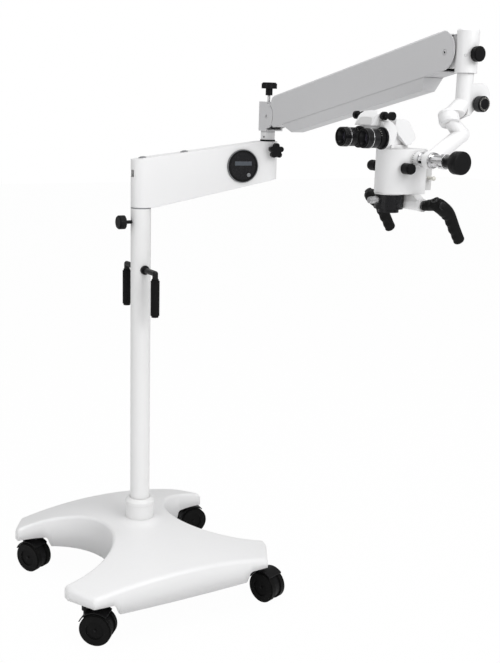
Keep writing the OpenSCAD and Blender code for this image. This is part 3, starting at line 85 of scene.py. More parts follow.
class Graph:
    def __init__(self, name):
        self.material = bpy.data.materials.new(name)
        self.material.use_nodes = True
        self.tree = self.material.node_tree
        self.shader = self.tree.nodes["Principled BSDF"]

    def add(self, kind, settings=None, inputs=None, out=0):
        node = self.tree.nodes.new(kind)
        for key, value in (settings or {}).items():
            setattr(node, key, value)
        for key, value in (inputs or {}).items():
            self.feed(node.inputs[key], value)
        return Sock(self, node.outputs[out])

    def feed(self, socket, value):
        if isinstance(value, Sock):
            self.tree.links.new(value.out, socket)
        elif value is not None:
            socket.default_value = value

    def place(self, scale=(1, 1, 1), shift=(0, 0, 0), turn=(0, 0, 0)):
        spot = self.add("ShaderNodeTexCoord", out="Object")
        inputs = {"Vector": spot, "Scale": scale, "Location": shift, "Rotation": turn}
        return self.add("ShaderNodeMapping", {}, inputs)

    def noise(self, scale, detail=3.0, rough=0.55, spot=None):
        spot = spot or self.place()
        inputs = {"Vector": spot, "Scale": scale, "Detail": detail, "Roughness": rough}
        return self.add("ShaderNodeTexNoise", {}, inputs)

    def cells(self, scale):
        return self.add("ShaderNodeTexVoronoi", {}, {"Vector": self.place(), "Scale": scale})

    def mix(self, factor, first, second):
        return self.add("ShaderNodeMix", {"data_type": "RGBA"}, {0: factor, 6: first, 7: second}, out=2)

    def hollow(self, reach=0.02):
        return 1 - self.add("ShaderNodeAmbientOcclusion", {"samples": 6}, {"Distance": reach}, out="AO")

    def facing(self, axis=2):
        return self.add("ShaderNodeNewGeometry", out="Normal").part(axis)

    def relief(self, layers, edge=0.0):
        normal = self.add("ShaderNodeBevel", {"samples": 6}, {"Radius": edge}) if edge else None
        for height, strength, depth in layers:
            inputs = {"Height": height, "Strength": strength, "Distance": depth, "Normal": normal}
            normal = self.add("ShaderNodeBump", {}, inputs)
        self.feed(self.shader.inputs["Normal"], normal)

    def set(self, **values):
        for key, value in values.items():
            self.feed(self.shader.inputs[key.replace("_", " ")], value)
        return self.material


def shade(colour, factor):
    return (colour[0] * factor, colour[1] * factor, colour[2] * factor, 1)


def paint(name, s):
    g = Graph(name)
    tint = (*s["tint"], 1)
    mottle = g.noise(s.get("patch", 7), 5)
    # Painted shade: ambient occlusion darkens the colour towards a dark tint in hollows and between parts.
    hollow_shade_mask = g.hollow(s.get("reach", 0.012)) * s.get("hollowShadeAmount", 0.35)
    film = g.facing().above(0.6, 0.35) * g.noise(160, 6, 0.7).above(0.58, 0.12) * s.get("dust", 0.12)
    scratch = g.noise(34, 4, 0.6, g.place((1, 1, 22), (0.3, 0.1, 0), (0.4, 0.2, 0.1))).above(0.68, 0.03)
    rub = g.noise(3.5, 4).above(0.5, 0.2)
    if "upper" in s:
        tint = g.mix(g.place().part(2).above(s["split"], 0.0006), tint, shade(s["upper"], 1))
    base = g.mix(mottle * 0.035, tint, (0.1, 0.1, 0.1, 1))
    base = g.mix(hollow_shade_mask.least(0.75), base, shade(s.get("hollowShadeTint", (0.23, 0.22, 0.2)), 1))
    base = g.mix(film, base, (0.62, 0.6, 0.56, 1))
    base = g.mix(scratch * rub * s.get("marks", 0.05), base, shade(s["tint"], 0.6))
    peel = g.noise(s.get("peel", 520), 2, 0.5)
    fine = g.noise(s.get("grain", 3800), 2)
    rough = s["rough"] + 0.09 * (g.noise(18, 5) - 0.5) + 0.12 * scratch * rub + 0.2 * film
    g.relief([(peel, s.get("wavy", 0.12), 0.0004), (fine, s.get("tooth", 0.08), 0.0001)], s.get("edge", 0.0012))
    return g.set(Base_Color=base, Roughness=rough, Coat_Weight=s.get("coat", 0.0), Metallic=s.get("metal", 0.0),
                 Specular_IOR_Level=s.get("shine", 0.5))


def moulding(name, s):
    g = Graph(name)
    cloud = g.noise(s.get("patch", 24), 6, 0.6)
    wear = g.add("ShaderNodeNewGeometry", out="Pointiness").above(0.53, 0.03) * g.noise(90, 5).above(0.45, 0.15)
    dust = g.facing().above(0.5, 0.4) * g.noise(220, 6, 0.75).above(0.52, 0.2) * s.get("dust", 0.14)
    base = g.mix(cloud, shade(s["tint"], 0.8), shade(s["tint"], 1.15))
    base = g.mix(wear * s.get("wear", 0.25), base, shade(s["tint"], 2.2))
    base = g.mix(dust, base, (0.3, 0.29, 0.27, 1))
    leather = g.cells(s.get("leather", 1500))
    speck = g.noise(s.get("grain", 5200), 3)
    rough = s["rough"] + 0.12 * (cloud - 0.5) + 0.2 * dust - 0.1 * wear
    g.relief([(leather, s.get("bumpy", 0.1), 0.0002), (speck, 0.12, 0.00008)], s.get("edge", 0.0007))
    return g.set(Base_Color=base, Roughness=rough, Coat_Weight=s.get("coat", 0.0),
                 Specular_IOR_Level=s.get("shine", 0.5))


def metal(name, s):
    g = Graph(name)
    stretch = s.get("stretch", (1, 1, 60))
    lines = g.noise(s.get("lines", 300), 4, 0.7, g.place(stretch))
    smear = g.noise(28, 5, 0.6)
    tarnish = smear.above(0.62, 0.12) * s.get("tarnish", 0.2)
    base = g.mix(lines, shade(s["tint"], 0.86), shade(s["tint"], 1.04))
    base = g.mix(tarnish, base, shade(s.get("stain", (0.35, 0.33, 0.3)), 1))
    # Painted shade: ambient occlusion darkens the metal's colour nearly to black in crevices.
    base = g.mix(g.hollow(0.006) * 0.5, base, (0.04, 0.04, 0.04, 1))
    rough = s["rough"] + s.get("swing", 0.1) * (lines - 0.5) + 0.15 * tarnish
    g.relief([(lines, s.get("bumpy", 0.06), 0.0001)], s.get("edge", 0.0005))
    return g.set(Base_Color=base, Roughness=rough, Metallic=1.0)


# In the paint materials below, the hollow settings set how much painted shade darkens the hollows.
whiteCover = paint("whiteCover", {"tint": (0.83, 0.83, 0.835), "rough": 0.34, "peel": 380, "dust": 0.06,
                                  "edge": 0.002})
whitePost = paint("whitePost", {"tint": (0.82, 0.82, 0.82), "rough": 0.3, "peel": 620, "patch": 5, "edge": 0.001})
whiteCast = paint("whiteCast", {"tint": (0.82, 0.82, 0.825), "rough": 0.36, "peel": 700, "hollowShadeAmount": 0.45,
                                "edge": 0.0016})
whiteArm = paint("whiteArm", {"tint": (0.60, 0.60, 0.61), "rough": 0.38, "peel": 450, "edge": 0.002})
rimGrey = paint("rimGrey", {"tint": (0.2, 0.205, 0.215), "rough": 0.35, "peel": 900, "dust": 0.02, "edge": 0.0004})
windowGlow = paint("windowGlow", {"tint": (0.075, 0.085, 0.1), "rough": 0.2, "peel": 200, "wavy": 0.02,
                                  "dust": 0.02, "marks": 0.02, "edge": 0.0003})
greyCover = paint("greyCover", {"tint": (0.62, 0.62, 0.62), "rough": 0.42, "peel": 800, "edge": 0.0015})
blackCoat = paint("blackCoat", {"tint": (0.006, 0.006, 0.0065), "hollowShadeTint": (0.02, 0.02, 0.02), "rough": 0.36,
                                "hollowShadeAmount": 0.1, "dust": 0.02, "shine": 0.22, "edge": 0.0008})
castIron = paint("castIron", {"tint": (0.06, 0.06, 0.062), "rough": 0.62, "peel": 300, "wavy": 0.5, "tooth": 0.3,
                              "grain": 1500})
blackMould = moulding("blackMould", {"tint": (0.006, 0.006, 0.0065), "rough": 0.42, "dust": 0.015, "shine": 0.12,
                                     "wear": 0.12})
gripRubber = moulding("gripRubber", {"tint": (0.0055, 0.0055, 0.0055), "rough": 0.5, "leather": 900,
                                     "bumpy": 0.22, "dust": 0.01, "shine": 0.1, "wear": 0.1})
deepBlack = moulding("deepBlack", {"tint": (0.003, 0.003, 0.003), "rough": 0.6, "dust": 0.0, "shine": 0.1})
blackRubber = moulding("blackRubber", {"tint": (0.005, 0.005, 0.005), "rough": 0.55, "leather": 1100,
                                       "bumpy": 0.16, "dust": 0.02, "shine": 0.1, "wear": 0.1})
wheelRubber = moulding("wheelRubber", {"tint": (0.005, 0.005, 0.005), "rough": 0.5, "dust": 0.01, "patch": 60,
                                       "shine": 0.08, "wear": 0.08})
ivory = moulding("ivory", {"tint": (0.66, 0.65, 0.6), "rough": 0.4, "dust": 0.05, "wear": 0.0})
steel = metal("steel", {"tint": (0.62, 0.62, 0.63), "rough": 0.3})
chrome = metal("chrome", {"tint": (0.8, 0.8, 0.81), "rough": 0.12, "swing": 0.05, "bumpy": 0.02, "tarnish": 0.08,
                          "lines": 500, "stretch": (1, 80, 1)})
alloy = metal("alloy", {"tint": (0.5, 0.51, 0.52), "rough": 0.42, "stretch": (60, 1, 60), "tarnish": 0.1})
blackAlloy = moulding("blackAlloy", {"tint": (0.007, 0.007, 0.008), "rough": 0.3, "leather": 2600, "bumpy": 0.03,
                                     "coat": 0.08, "dust": 0.02, "shine": 0.28, "edge": 0.0006})
buttonWhite = paint("buttonWhite", {"tint": (0.7, 0.7, 0.7), "rough": 0.3, "peel": 1200, "edge": 0.0002})
yokeWhite = paint("yokeWhite", {"tint": (0.82, 0.82, 0.825), "upper": (0.60, 0.60, 0.61), "split": 1.349,
                                "rough": 0.37, "peel": 600, "edge": 0.0016})


def lensGlass():
    g = Graph("lensGlass")
    smudge = g.noise(120, 5, 0.7).above(0.55, 0.15)
    tone = g.mix(g.noise(30, 3), (0.02, 0.024, 0.03, 1), (0.035, 0.025, 0.045, 1))
    g.relief([(g.noise(60, 2), 0.02, 0.0001)])
    return g.set(Base_Color=tone, Roughness=0.03 + 0.12 * smudge, Coat_Weight=0.8, Specular_IOR_Level=0.9)


coatedGlass = lensGlass()

looks = {
    "whiteCover": (whiteCover, ["base_cover"]),
    "whiteArm": (whiteArm, ["arm_top_cover", "arm_belly_cover"]),
    "whitePost": (whitePost, ["post_collar", "post_tube"]),
    "whiteCast": (whiteCast, ["lower_arm_shell", "head_block", "drop_arm", "swan_neck",
                              "head_shell", "bino_base", "bino_housing", "tilt_ring", "handle_bar"]),
    "greyCover": (greyCover, ["lower_arm_cover", "head_rear_cover"]),
    "iron": (castIron, ["base_frame"]),
    "black": (blackCoat, ["grip_stems"]),
    "mould": (blackMould, ["post_knob", "star_knob", "tension_knob", "block_knob", "tilt_knob",
                           "mag_drum", "bino_shaft",
                           "diopter_ring_left", "diopter_ring_right", "yoke_ring", "display_bezel",
                           "caster_hood_1", "caster_hood_2", "caster_hood_3", "caster_hood_4"]),
    "rubber": (blackRubber, ["push_grips", "handle_grips"]),
    "wheel": (wheelRubber, ["caster_wheels_1", "caster_wheels_2", "caster_wheels_3", "caster_wheels_4"]),
    "ivory": (ivory, ["filter_lever"]),
    "trim": (rimGrey, ["post_bush", "power_button", "arm_caps"]),
    "yoke": (yokeWhite, ["yoke"]),
    "steel": (steel, ["arm_spindle", "lift_pin", "gas_spring", "level_link", "level_pin", "focus_knob"]),
    "alloy": (alloy, ["arm_beam", "light_unit"]),
    "chrome": (chrome, ["tilt_barrel", "tilt_shaft"]),
    "optic": (blackAlloy, ["drop_knob", "objective_housing", "eyepiece_left", "eyepiece_right", "display_screen"]),
    "glass": (coatedGlass, ["objective_lens"]),
}
for material, names in looks.values():
    for name in names:
        nodes[name].data.materials.clear()
        nodes[name].data.materials.append(material)
print("materials on every node")


class Shape:
    def __init__(self):
        self.mesh = bmesh.new()

    def loop(self, points, place):
        return [self.mesh.verts.new(place @ Vector(p)) for p in points]

    def skin(self, loops, closed=True):
        count = len(loops[0])
        for first, second in zip(loops, loops[1:]):
            for i in range(count if closed else count - 1):
                j = (i + 1) % count
                self.mesh.faces.new((first[i], first[j], second[j], second[i]))

    def tube(self, loops, caps=True):
        self.skin(loops)
        if caps:
            self.mesh.faces.new(loops[0][::-1])
            self.mesh.faces.new(loops[-1])
        return self

    def lathe(self, profile, place=Matrix(), steps=40, caps=True):
        turns = [2 * math.pi * i / steps for i in range(steps)]
        rings = [[(r * math.cos(t), r * math.sin(t), z) for t in turns] for r, z in profile]
        return self.tube([self.loop(ring, place) for ring in rings], caps)

    def prism(self, outline, low, high, place=Matrix()):
        return self.tube([self.loop([(x, y, z) for x, y in outline], place) for z in (low, high)])

    def block(self, centre, size, place=Matrix()):
        x, y, z = (v / 2 for v in size)
        return self.prism([(-x, -y), (x, -y), (x, y), (-x, y)], -z, z, place @ Matrix.Translation(centre))

    def socketScrew(self, size, tall, place, hexed=0.5):
        turns = [2 * math.pi * i / 36 for i in range(36)]

        def disc(r, z):
            return [(r * math.cos(t), r * math.sin(t), z) for t in turns]

        def six(r, z):
            sixth = math.pi / 3
            reach = [r * math.cos(sixth / 2) / math.cos((t % sixth) - sixth / 2) for t in turns]
            return [(q * math.cos(t), q * math.sin(t), z) for q, t in zip(reach, turns)]

        shape = [disc(size, 0), disc(size, tall * 0.8), disc(size * 0.86, tall), six(size * hexed * 1.08, tall),
                 six(size * hexed, tall * 0.9), six(size * hexed, tall * 0.3)]
        return self.tube([self.loop(p, place) for p in shape])

    def make(self, name, body, material, slotName, bevel=0.0, angle=35):
        data = bpy.data.meshes.new(name)
        bmesh.ops.recalc_face_normals(self.mesh, faces=self.mesh.faces)
        self.mesh.to_mesh(data)
        self.mesh.free()
        for face in data.polygons:
            face.use_smooth = True
        data.set_sharp_from_angle(angle=math.radians(angle))
        piece = bpy.data.objects.new(name, data)
        bpy.context.scene.collection.objects.link(piece)
        if bevel:
            cut = piece.modifiers.new("edge", "BEVEL")
            cut.width = bevel
            cut.segments = 2
            cut.limit_method = "ANGLE"
        data.materials.append(material)
        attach(piece, body)
        return piece


def towards(point, direction, roll=0.0):
    turn = Vector(direction).to_track_quat("Z", "Y").to_matrix().to_4x4()
    return Matrix.Translation(point) @ turn @ Matrix.Rotation(roll, 4, "Z")


def mm(*values):
    return Vector(values) * 0.001


def frameOf(origin, alongX, alongZ):
    z = Vector(alongZ).normalized()
    x = Vector(alongX).normalized()
    y = z.cross(x)
    return Matrix.Translation(origin) @ Matrix((x, y, z)).transposed().to_4x4()


def rectangle(x0, x1, y):
    return [(x0, -y), (x1, -y), (x1, y), (x0, y)]


def sideEnd(side):
    return "_a" if side < 0 else "_b"


# The moulded base: bays cut into both ends, a rounded edge and a fillet up to the collar.
baseSettings = {"halfX": 0.270, "halfY": 0.304, "tipX": 0.314, "tipY": 0.222, "bulge": 0.008, "bayR": 0.200,
                "bayX": 0.305, "crown": 0.203, "drop": 0.066, "round": 0.0095, "soft": 0.0022, "skirt": 0.082, "arch": 0.111,
                "pinX": 0.272, "pinY": 0.252, "sweep": 0.086, "lead": 0.007, "blend": 0.013,
                "fillet": (0.043, 0.086, 0.0095), "hole": 0.036, "outside": 0.08, "wall": 0.0035,
                "edgeSteps": (0, 0.0004, 0.0013, 0.0027, 0.0045, 0.0068, 0.0096, 0.014), "edgeRoom": 0.045,
                "waistSteps": (0, 0.006, 0.012, 0.018, 0.024, 0.03, 0.036, 0.042),
                "tipSteps": (0.014, 0.01, 0.0065, 0.004, 0.002, 0.0008, 0),
                "cornerSteps": (-0.006, -0.002, 0, 0.002, 0.006),
                "bayMouth": (0.0006, 0.0018, 0.0036, 0.006, 0.009, 0.013),
                "across": 26, "middleColumns": 22, "bayColumns": 60}


def baseSkin(s):
    sideR = (s["halfX"] ** 2 + s["bulge"] ** 2) / (2 * s["bulge"])
    sideY = s["halfY"] + s["bulge"] - sideR
    domeR = (s["halfX"] ** 2 + s["halfY"] ** 2 + s["drop"] ** 2) / (2 * s["drop"])
    slope = (s["halfY"] - s["tipY"]) / (s["halfX"] - s["tipX"])
    lean = math.hypot(slope, 1)

    def top(x):
        return min(sideY + math.sqrt(sideR ** 2 - x * x), s["tipY"] + slope * (abs(x) - s["tipX"]))

    def low(x):
        reach = s["bayR"] ** 2 - (abs(x) - s["bayX"]) ** 2
        return math.sqrt(reach) if reach > 0 else 0.0

    # A smooth least distance to the bay, the long side, the tip and the slanted end.
    def rim(x, y):
        bay = math.hypot(abs(x) - s["bayX"], y) - s["bayR"]
        end = (s["tipY"] + slope * (abs(x) - s["tipX"]) - abs(y)) / lean
        gaps = [bay, sideR - math.hypot(x, abs(y) - sideY), s["tipX"] - abs(x), end]
        return max(0.0, -s["soft"] * math.log(sum(math.exp(-g / s["soft"]) for g in gaps)))

    def height(x, y):
        near = min(rim(x, y), s["round"])
        far = math.hypot(x, y)
        inner, outer, lift = s["fillet"]
        climb = lift * max(0.0, (outer - max(far, inner)) / (outer - inner)) ** 2
        dome = s["crown"] - domeR + math.sqrt(domeR ** 2 - far * far)
        return dome + climb - s["round"] + math.sqrt(s["round"] ** 2 - (s["round"] - near) ** 2)

    waist = s["bayX"] - s["bayR"]
    edge = math.acos((s["tipX"] - s["bayX"]) / s["bayR"])
    half = [waist * i / s["middleColumns"] for i in range(s["middleColumns"] + 1)]
    half += [s["bayX"] + s["bayR"] * math.cos(math.pi + (edge - math.pi) * i / s["bayColumns"])
             for i in range(1, s["bayColumns"] + 1)]
    extra = [s["tipX"] - d for d in s["tipSteps"]]
    extra += [s["halfX"] + d for d in s["cornerSteps"]] + [waist - d for d in s["bayMouth"]]
    half = sorted(set([round(x, 6) for x in half if x < s["tipX"] - s["tipSteps"][0]] + extra))
    columns = [-x for x in half[:0:-1]] + half
    shape = Shape()
    for side in (1, -1):
        grid = []
        for x in columns:
            bottom, high = low(x), top(x)
            fit = min(1.0, max(high - bottom, 0.001) / s["edgeRoom"])
            lowSteps = [bottom + d * fit for d in s["edgeSteps"]] if bottom > 0 else list(s["waistSteps"])
            highSteps = [high - d * fit for d in s["edgeSteps"][::-1]]
            start, stop = lowSteps[-1], highSteps[0]
            between = [start + (stop - start) * i / s["across"] for i in range(1, s["across"])]
            grid.append(shape.loop([(x, side * y, height(x, y)) for y in lowSteps + between + highSteps], Matrix()))
        shape.skin(grid, closed=False)
    bmesh.ops.remove_doubles(shape.mesh, verts=shape.mesh.verts, dist=0.00002)
    gone = [f for f in shape.mesh.faces if f.calc_center_median().xy.length < s["hole"]]
    bmesh.ops.delete(shape.mesh, geom=gone, context="FACES")
    outline = [e for e in shape.mesh.edges if e.is_boundary and e.verts[0].co.xy.length > s["outside"]]
    fall = bmesh.ops.extrude_edge_only(shape.mesh, edges=outline)
    for v in (g for g in fall["geom"] if isinstance(g, bmesh.types.BMVert)):
        pin = math.hypot(abs(v.co.x) - s["pinX"], abs(v.co.y) - s["pinY"])
        ease = min(1.0, max(0.0, (s["sweep"] + s["lead"] - pin) / s["blend"]))
        v.co.z = s["skirt"] + (s["arch"] - s["skirt"]) * ease * ease * (3 - 2 * ease)
    return shape


skin = baseSkin(baseSettings).make("base_skin", "stand", whiteCover, "cover_white", angle=50)
wall = skin.modifiers.new("wall", "SOLIDIFY")
wall.thickness = baseSettings["wall"]
wall.offset = -1
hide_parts("base_cover")

collarSeam = {"inner": 0.004, "outer": 0.0018, "wide": 0.0012, "up": 0.0002}
lowCollar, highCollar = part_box("post_collar")
collarR = (highCollar.x - lowCollar.x) / 2
innerR, outerR = collarR - collarSeam["inner"], collarR - collarSeam["outer"]
Shape().lathe([(innerR, 0), (outerR, 0), (outerR, collarSeam["wide"]), (innerR, collarSeam["wide"])],
              Matrix.Translation((0, 0, lowCollar.z + collarSeam["up"])), 64).make(
    "collar_seam", "stand", greyCover, "cover_grey")
print("base skin made")

armHeading = -7.5
heading = Matrix.Rotation(math.radians(armHeading), 4, "Z")
display = {"place": (295, -28.5, 1254), "face": 0.003, "rim": (0.0453, 0.0473, 0.0007),
           "window": (0.052, 0.0115, 0.0003), "windowAt": (0.001, 0.0075), "button": (0.018, -0.025),
           "ring": [(0.0040, 0), (0.0052, 0), (0.0050, 0.0009), (0.0042, 0.0009)], "sunk": 0.0001}
armSide = heading @ Matrix.Translation(mm(*display["place"])) @ Matrix.Rotation(math.radians(90), 4, "X")
innerR, outerR, tall = display["rim"]
Shape().lathe([(innerR, 0), (outerR, 0), (outerR, tall), (innerR, tall)],
              armSide @ Matrix.Translation((0, 0, display["face"])), 72, caps=False).make(
    "display_rim", "lower_arm", rimGrey, "trim_black")
wide, tall, thick = display["window"]
Shape().prism(rectangle(-wide / 2, wide / 2, tall / 2), 0, thick,
              armSide @ Matrix.Translation((*display["windowAt"], display["face"] - thick))).make(
    "display_window", "lower_arm", windowGlow, "screen", bevel=0.0002)
buttonAt = Matrix.Translation((*display["button"], display["face"] - display["sunk"]))
Shape().lathe(display["ring"], armSide @ buttonAt, caps=False).make("button_ring", "power_key", buttonWhite, "button_grey")
print("display dressed")

inlet = {"place": (-14.2, 0, 1232), "size": (0.003, 0.024, 0.017), "out": -0.003,
         "pins": ((-0.006, -0.002), (0, 0.002), (0.006, -0.002)), "pin": (0.005, 0.0015, 0.004)}
socketPlace = heading @ Matrix.Translation(mm(*inlet["place"]))
Shape().block((0, 0, 0), inlet["size"], socketPlace).make(
    "power_inlet", "lower_arm", blackMould, "trim_black", bevel=0.0008)
for k, (y, z) in enumerate(inlet["pins"]):
    Shape().block((inlet["out"], y, z), inlet["pin"], socketPlace).make(
        "inlet_pin_" + str(k), "lower_arm", steel, "steel")

neckScrew = {"radius": 0.0026, "tall": 0.0012, "out": 0.0201, "centre": (380.7, -50.1, 1337),
             "aim": (-0.897, -0.441, 0)}
aim = Vector(neckScrew["aim"])
place = towards(mm(*neckScrew["centre"]) + aim * neckScrew["out"], aim)
Shape().socketScrew(neckScrew["radius"], neckScrew["tall"], place).make(
    "neck_screw", "yoke_turret", blackMould, "trim_black")

tensionSleeve = {"at": (380.7, -50.1, 0), "up": 0.0001,
                 "profile": [(0.0039, 0), (0.0039, 0.0172), (0.0047, 0.0176), (0.0047, 0.0179)]}
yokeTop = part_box("yoke")[1].z
sleeveAt = mm(*tensionSleeve["at"]) + Vector((0, 0, yokeTop + tensionSleeve["up"]))
Shape().lathe(tensionSleeve["profile"], Matrix.Translation(sleeveAt), 32).make("tension_sleeve", "tension", steel, "steel")

pitch = math.radians(11.88)
along = Vector((0, -math.cos(pitch), math.sin(pitch)))
above = Vector((0, math.sin(pitch), math.cos(pitch)))
liftPoint, levelPoint = mm(380.7, -84.1, 1396.3), mm(380.7, -824.4, 1552.0)
pinCap = {"out": 0.0282, "cap": [(0.0058, 0), (0.0058, 0.0002), (0.0052, 0.0005), (0.0026, 0.0005), (0.0022, 0.0001)],
          "hole": [(0.0022, 0), (0.0022, 0.0003)]}
for name, point, body in (("lift", liftPoint, "yoke_turret"), ("level", levelPoint, "spring_arm")):
    for side in (-1, 1):
        place = towards(point + Vector((side * pinCap["out"], 0, 0)), (side, 0, 0))
        Shape().lathe(pinCap["cap"], place, 32).make(name + "_cap" + sideEnd(side), body, whiteArm, "cover_white")
        # The black disc on each cap is painted shade, standing for the dark inside of the pin hole.
        Shape().lathe(pinCap["hole"], place, 20).make(name + "_hole" + sideEnd(side), body, deepBlack, "trim_black")

floorSheet = {"from": 0.0375, "to": 0.080, "half": 0.0262, "under": 0.0379, "thick": 0.002}
Shape().prism(rectangle(floorSheet["from"], floorSheet["to"], floorSheet["half"]), 0, floorSheet["thick"],
              frameOf(liftPoint - above * floorSheet["under"], along, above)).make(
    "arm_floor", "spring_arm", whiteArm, "cover_white")

# The thin black strip on the roof is painted shade, standing for the slot's dark gap; a white tongue sits on it.
roofSlot = {"from": 0.690, "long": 0.038, "half": 0.0052, "over": 0.0489, "deep": 0.0003,
            "tongueFrom": 0.001, "tongueHalf": 0.004, "tongueTall": 0.0012}
slotPlace = frameOf(liftPoint + along * roofSlot["from"] + above * roofSlot["over"], along, above)
Shape().prism(rectangle(0, roofSlot["long"], roofSlot["half"]), 0, roofSlot["deep"], slotPlace).make(
    "roof_slot", "spring_arm", deepBlack, "trim_black")
tongue = rectangle(roofSlot["tongueFrom"], roofSlot["long"], roofSlot["tongueHalf"])
Shape().prism(tongue, 0, roofSlot["tongueTall"], slotPlace).make(
    "roof_tongue", "spring_arm", whiteArm, "cover_white", bevel=0.0004)

blockPlug = {"centre": (380.7, -865.4, 1545), "aim": (-0.75, -0.66, 0), "out": 0.0243,
             "profile": [(0.0032, 0), (0.0032, 0.0003), (0.0024, 0.0003), (0.0021, 0.0)]}
plugAt = mm(*blockPlug["centre"]) + Vector(blockPlug["aim"]) * blockPlug["out"]
Shape().lathe(blockPlug["profile"], towards(plugAt, blockPlug["aim"]), 28).make(
    "block_plug", "block", greyCover, "cast_white")
print("arm details placed")

dropFace = {"profile": [(0.0002, 0), (0.0150, 0), (0.0150, 0.0004), (0.0118, 0.0004), (0.0108, 0.0012),
                        (0.0002, 0.0014)],
            "ticks": 20, "tickAt": (0.0133, 0, 0.0005), "tick": (0.0027, 0.0007, 0.0005),
            "longTick": (0.0027, 0.0011, 0.0005)}
lowDrop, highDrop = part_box("drop_knob")
knobFace = Vector(((lowDrop.x + highDrop.x) / 2, lowDrop.y, (lowDrop.z + highDrop.z) / 2))
front = Vector((0, -1, 0))
Shape().lathe(dropFace["profile"], towards(knobFace, front), 48, caps=False).make(
    "drop_face", "drop_clamp", blackMould, "knob_black_fine")
for k in range(dropFace["ticks"]):
    turned = towards(knobFace, front, 2 * math.pi * k / dropFace["ticks"])
    Shape().block(dropFace["tickAt"], dropFace["tick"] if k % 5 else dropFace["longTick"], turned).make(
        "drop_tick_" + str(k), "drop_clamp", ivory, "lever_white")

tiltAxis = mm(272.7, 0, 1321.0)
tiltRing = {"y": -0.8519, "ticks": 24, "radius": 0.01728, "thin": 0.0003, "wide": 0.0007,
            "long": 0.006, "short": 0.0038, "grooveY": (-0.8672, -0.8832),
            "groove": [(0.0149, 0), (0.0156, 0), (0.0156, 0.0012), (0.0149, 0.0012)]}


def onTilt(y, roll=0.0):
    return towards(tiltAxis + Vector((0, y, 0)), front, roll)


for k in range(tiltRing["ticks"]):
    long = tiltRing["short"] if k % 3 else tiltRing["long"]
    Shape().block((tiltRing["radius"], 0, long / 2), (tiltRing["thin"], tiltRing["wide"], long),
                  onTilt(tiltRing["y"], 2 * math.pi * k / tiltRing["ticks"])).make(
        "tilt_tick_" + str(k), "head", deepBlack, "trim_black")
for k, y in enumerate(tiltRing["grooveY"]):
    Shape().lathe(tiltRing["groove"], onTilt(y), 48, caps=False).make(
        "groove_ring_" + str(k), "head", chrome, "chrome_bright")

# Radius and distance back from the knob's face: the neck first, then the wide disc.
knob = {"disc": 0.0243, "root": 0.0102, "neck": 0.0118, "rootStep": 0.0005, "round": 0.0028, "faceDrop": 0.0014,
        "flare": ((0.0118, 0.0310), (0.0140, 0.0285), (0.0190, 0.0262), (0.0229, 0.0246), (0.0243, 0.0228)),
        "dish": (0.012, 0.0004), "arcSteps": 12, "sleeve": 0.0115, "sleeveR": (0.0104, 0.0160), "sleeveEdge": 0.0006,
        "bandsAt": (0.0078, 0.0120), "band": ((-0.0001, 0), (0.0003, 0.0003), (0.0003, 0.0011), (-0.0001, 0.0014))}
lowKnob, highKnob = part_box("tilt_knob")
tall, r, e = highKnob.y - lowKnob.y, knob["disc"], knob["round"]
turns = [math.pi * i / knob["arcSteps"] for i in range(knob["arcSteps"] // 2 + 1)]
profile = [(knob["root"], 0), (knob["neck"], knob["rootStep"])] + [(z, tall - back) for z, back in knob["flare"]]
profile += [(r - e + e * math.cos(t), tall - knob["faceDrop"] - e + e * math.sin(t)) for t in turns]
profile += [(knob["dish"][0], tall - knob["dish"][1]), (0.0002, tall)]
cap = Shape().lathe(profile, onTilt(highKnob.y), 72).make(
    "tilt_knob_cap", "tilt_clamp", blackMould, "knob_black", angle=50)
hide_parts("tilt_knob")
(innerR, outerR), edge, long, start = knob["sleeveR"], knob["sleeveEdge"], knob["sleeve"], 0.0002
Shape().lathe([(innerR, start), (outerR, start), (outerR, long - edge), (outerR - edge, long), (innerR, long)],
              onTilt(highKnob.y), 48, caps=False).make("tilt_sleeve", "tilt_clamp", chrome, "chrome_bright")
for k, y in enumerate(knob["bandsAt"]):
    Shape().lathe([(r + out, z) for out, z in knob["band"]], onTilt(lowKnob.y + y), 72, caps=False).make(
        "knob_band_" + str(k), "tilt_clamp", blackMould, "knob_black")
print("tilt axis dressed")

optic = Vector((0.2397, -0.8004, 0))
bodyTop, bodyBottom, eyeZ = 1.3430, 1.2440, 1.3650
towardsUser = Vector((-1, 0, 0))


def onOptic(x, y, z):
    return optic + Vector((x, y, z))


# Each eyepiece lies along the user's direction; profiles are radius and distance towards the user.
eye = {"gap": 0.040, "face": 0.112,
       "lip": [(0.0183, -0.001), (0.0201, 0.0006), (0.0177, 0.0011), (0.0161, 0.0004), (0.0155, -0.002)],
       "ribsAt": (0.0052, 0.0084, 0.0116),
       "rib": [(0.02095, 0), (0.02135, 0.0004), (0.02135, 0.0011), (0.02095, 0.0015)],
       "rimAt": 0.0163, "rim": [(0.0208, 0), (0.0217, 0.0002), (0.0217, 0.0013), (0.0208, 0.0015)], "glassAt": 0.0132,
       "glass": [(0.0109, 0), (0.0109, 0.0002), (0.008, 0.0007), (0.004, 0.001), (0.0001, 0.0011)],
       "seat": [(0.0109, 0.0002), (0.0135, 0.0006), (0.0135, 0.0016), (0.0109, 0.0014)],
       "dots": 5, "firstDot": 20, "dotTurn": 13, "dotBack": 0.0052, "dotOut": 0.02098,
       "dot": [(0.0007, 0), (0.0006, 0.00025)],
       "markAt": 0.093, "markOut": 0.0206, "markAim": (0, -0.35, 0.94), "mark": [(0.0009, 0), (0.0008, 0.00025)]}
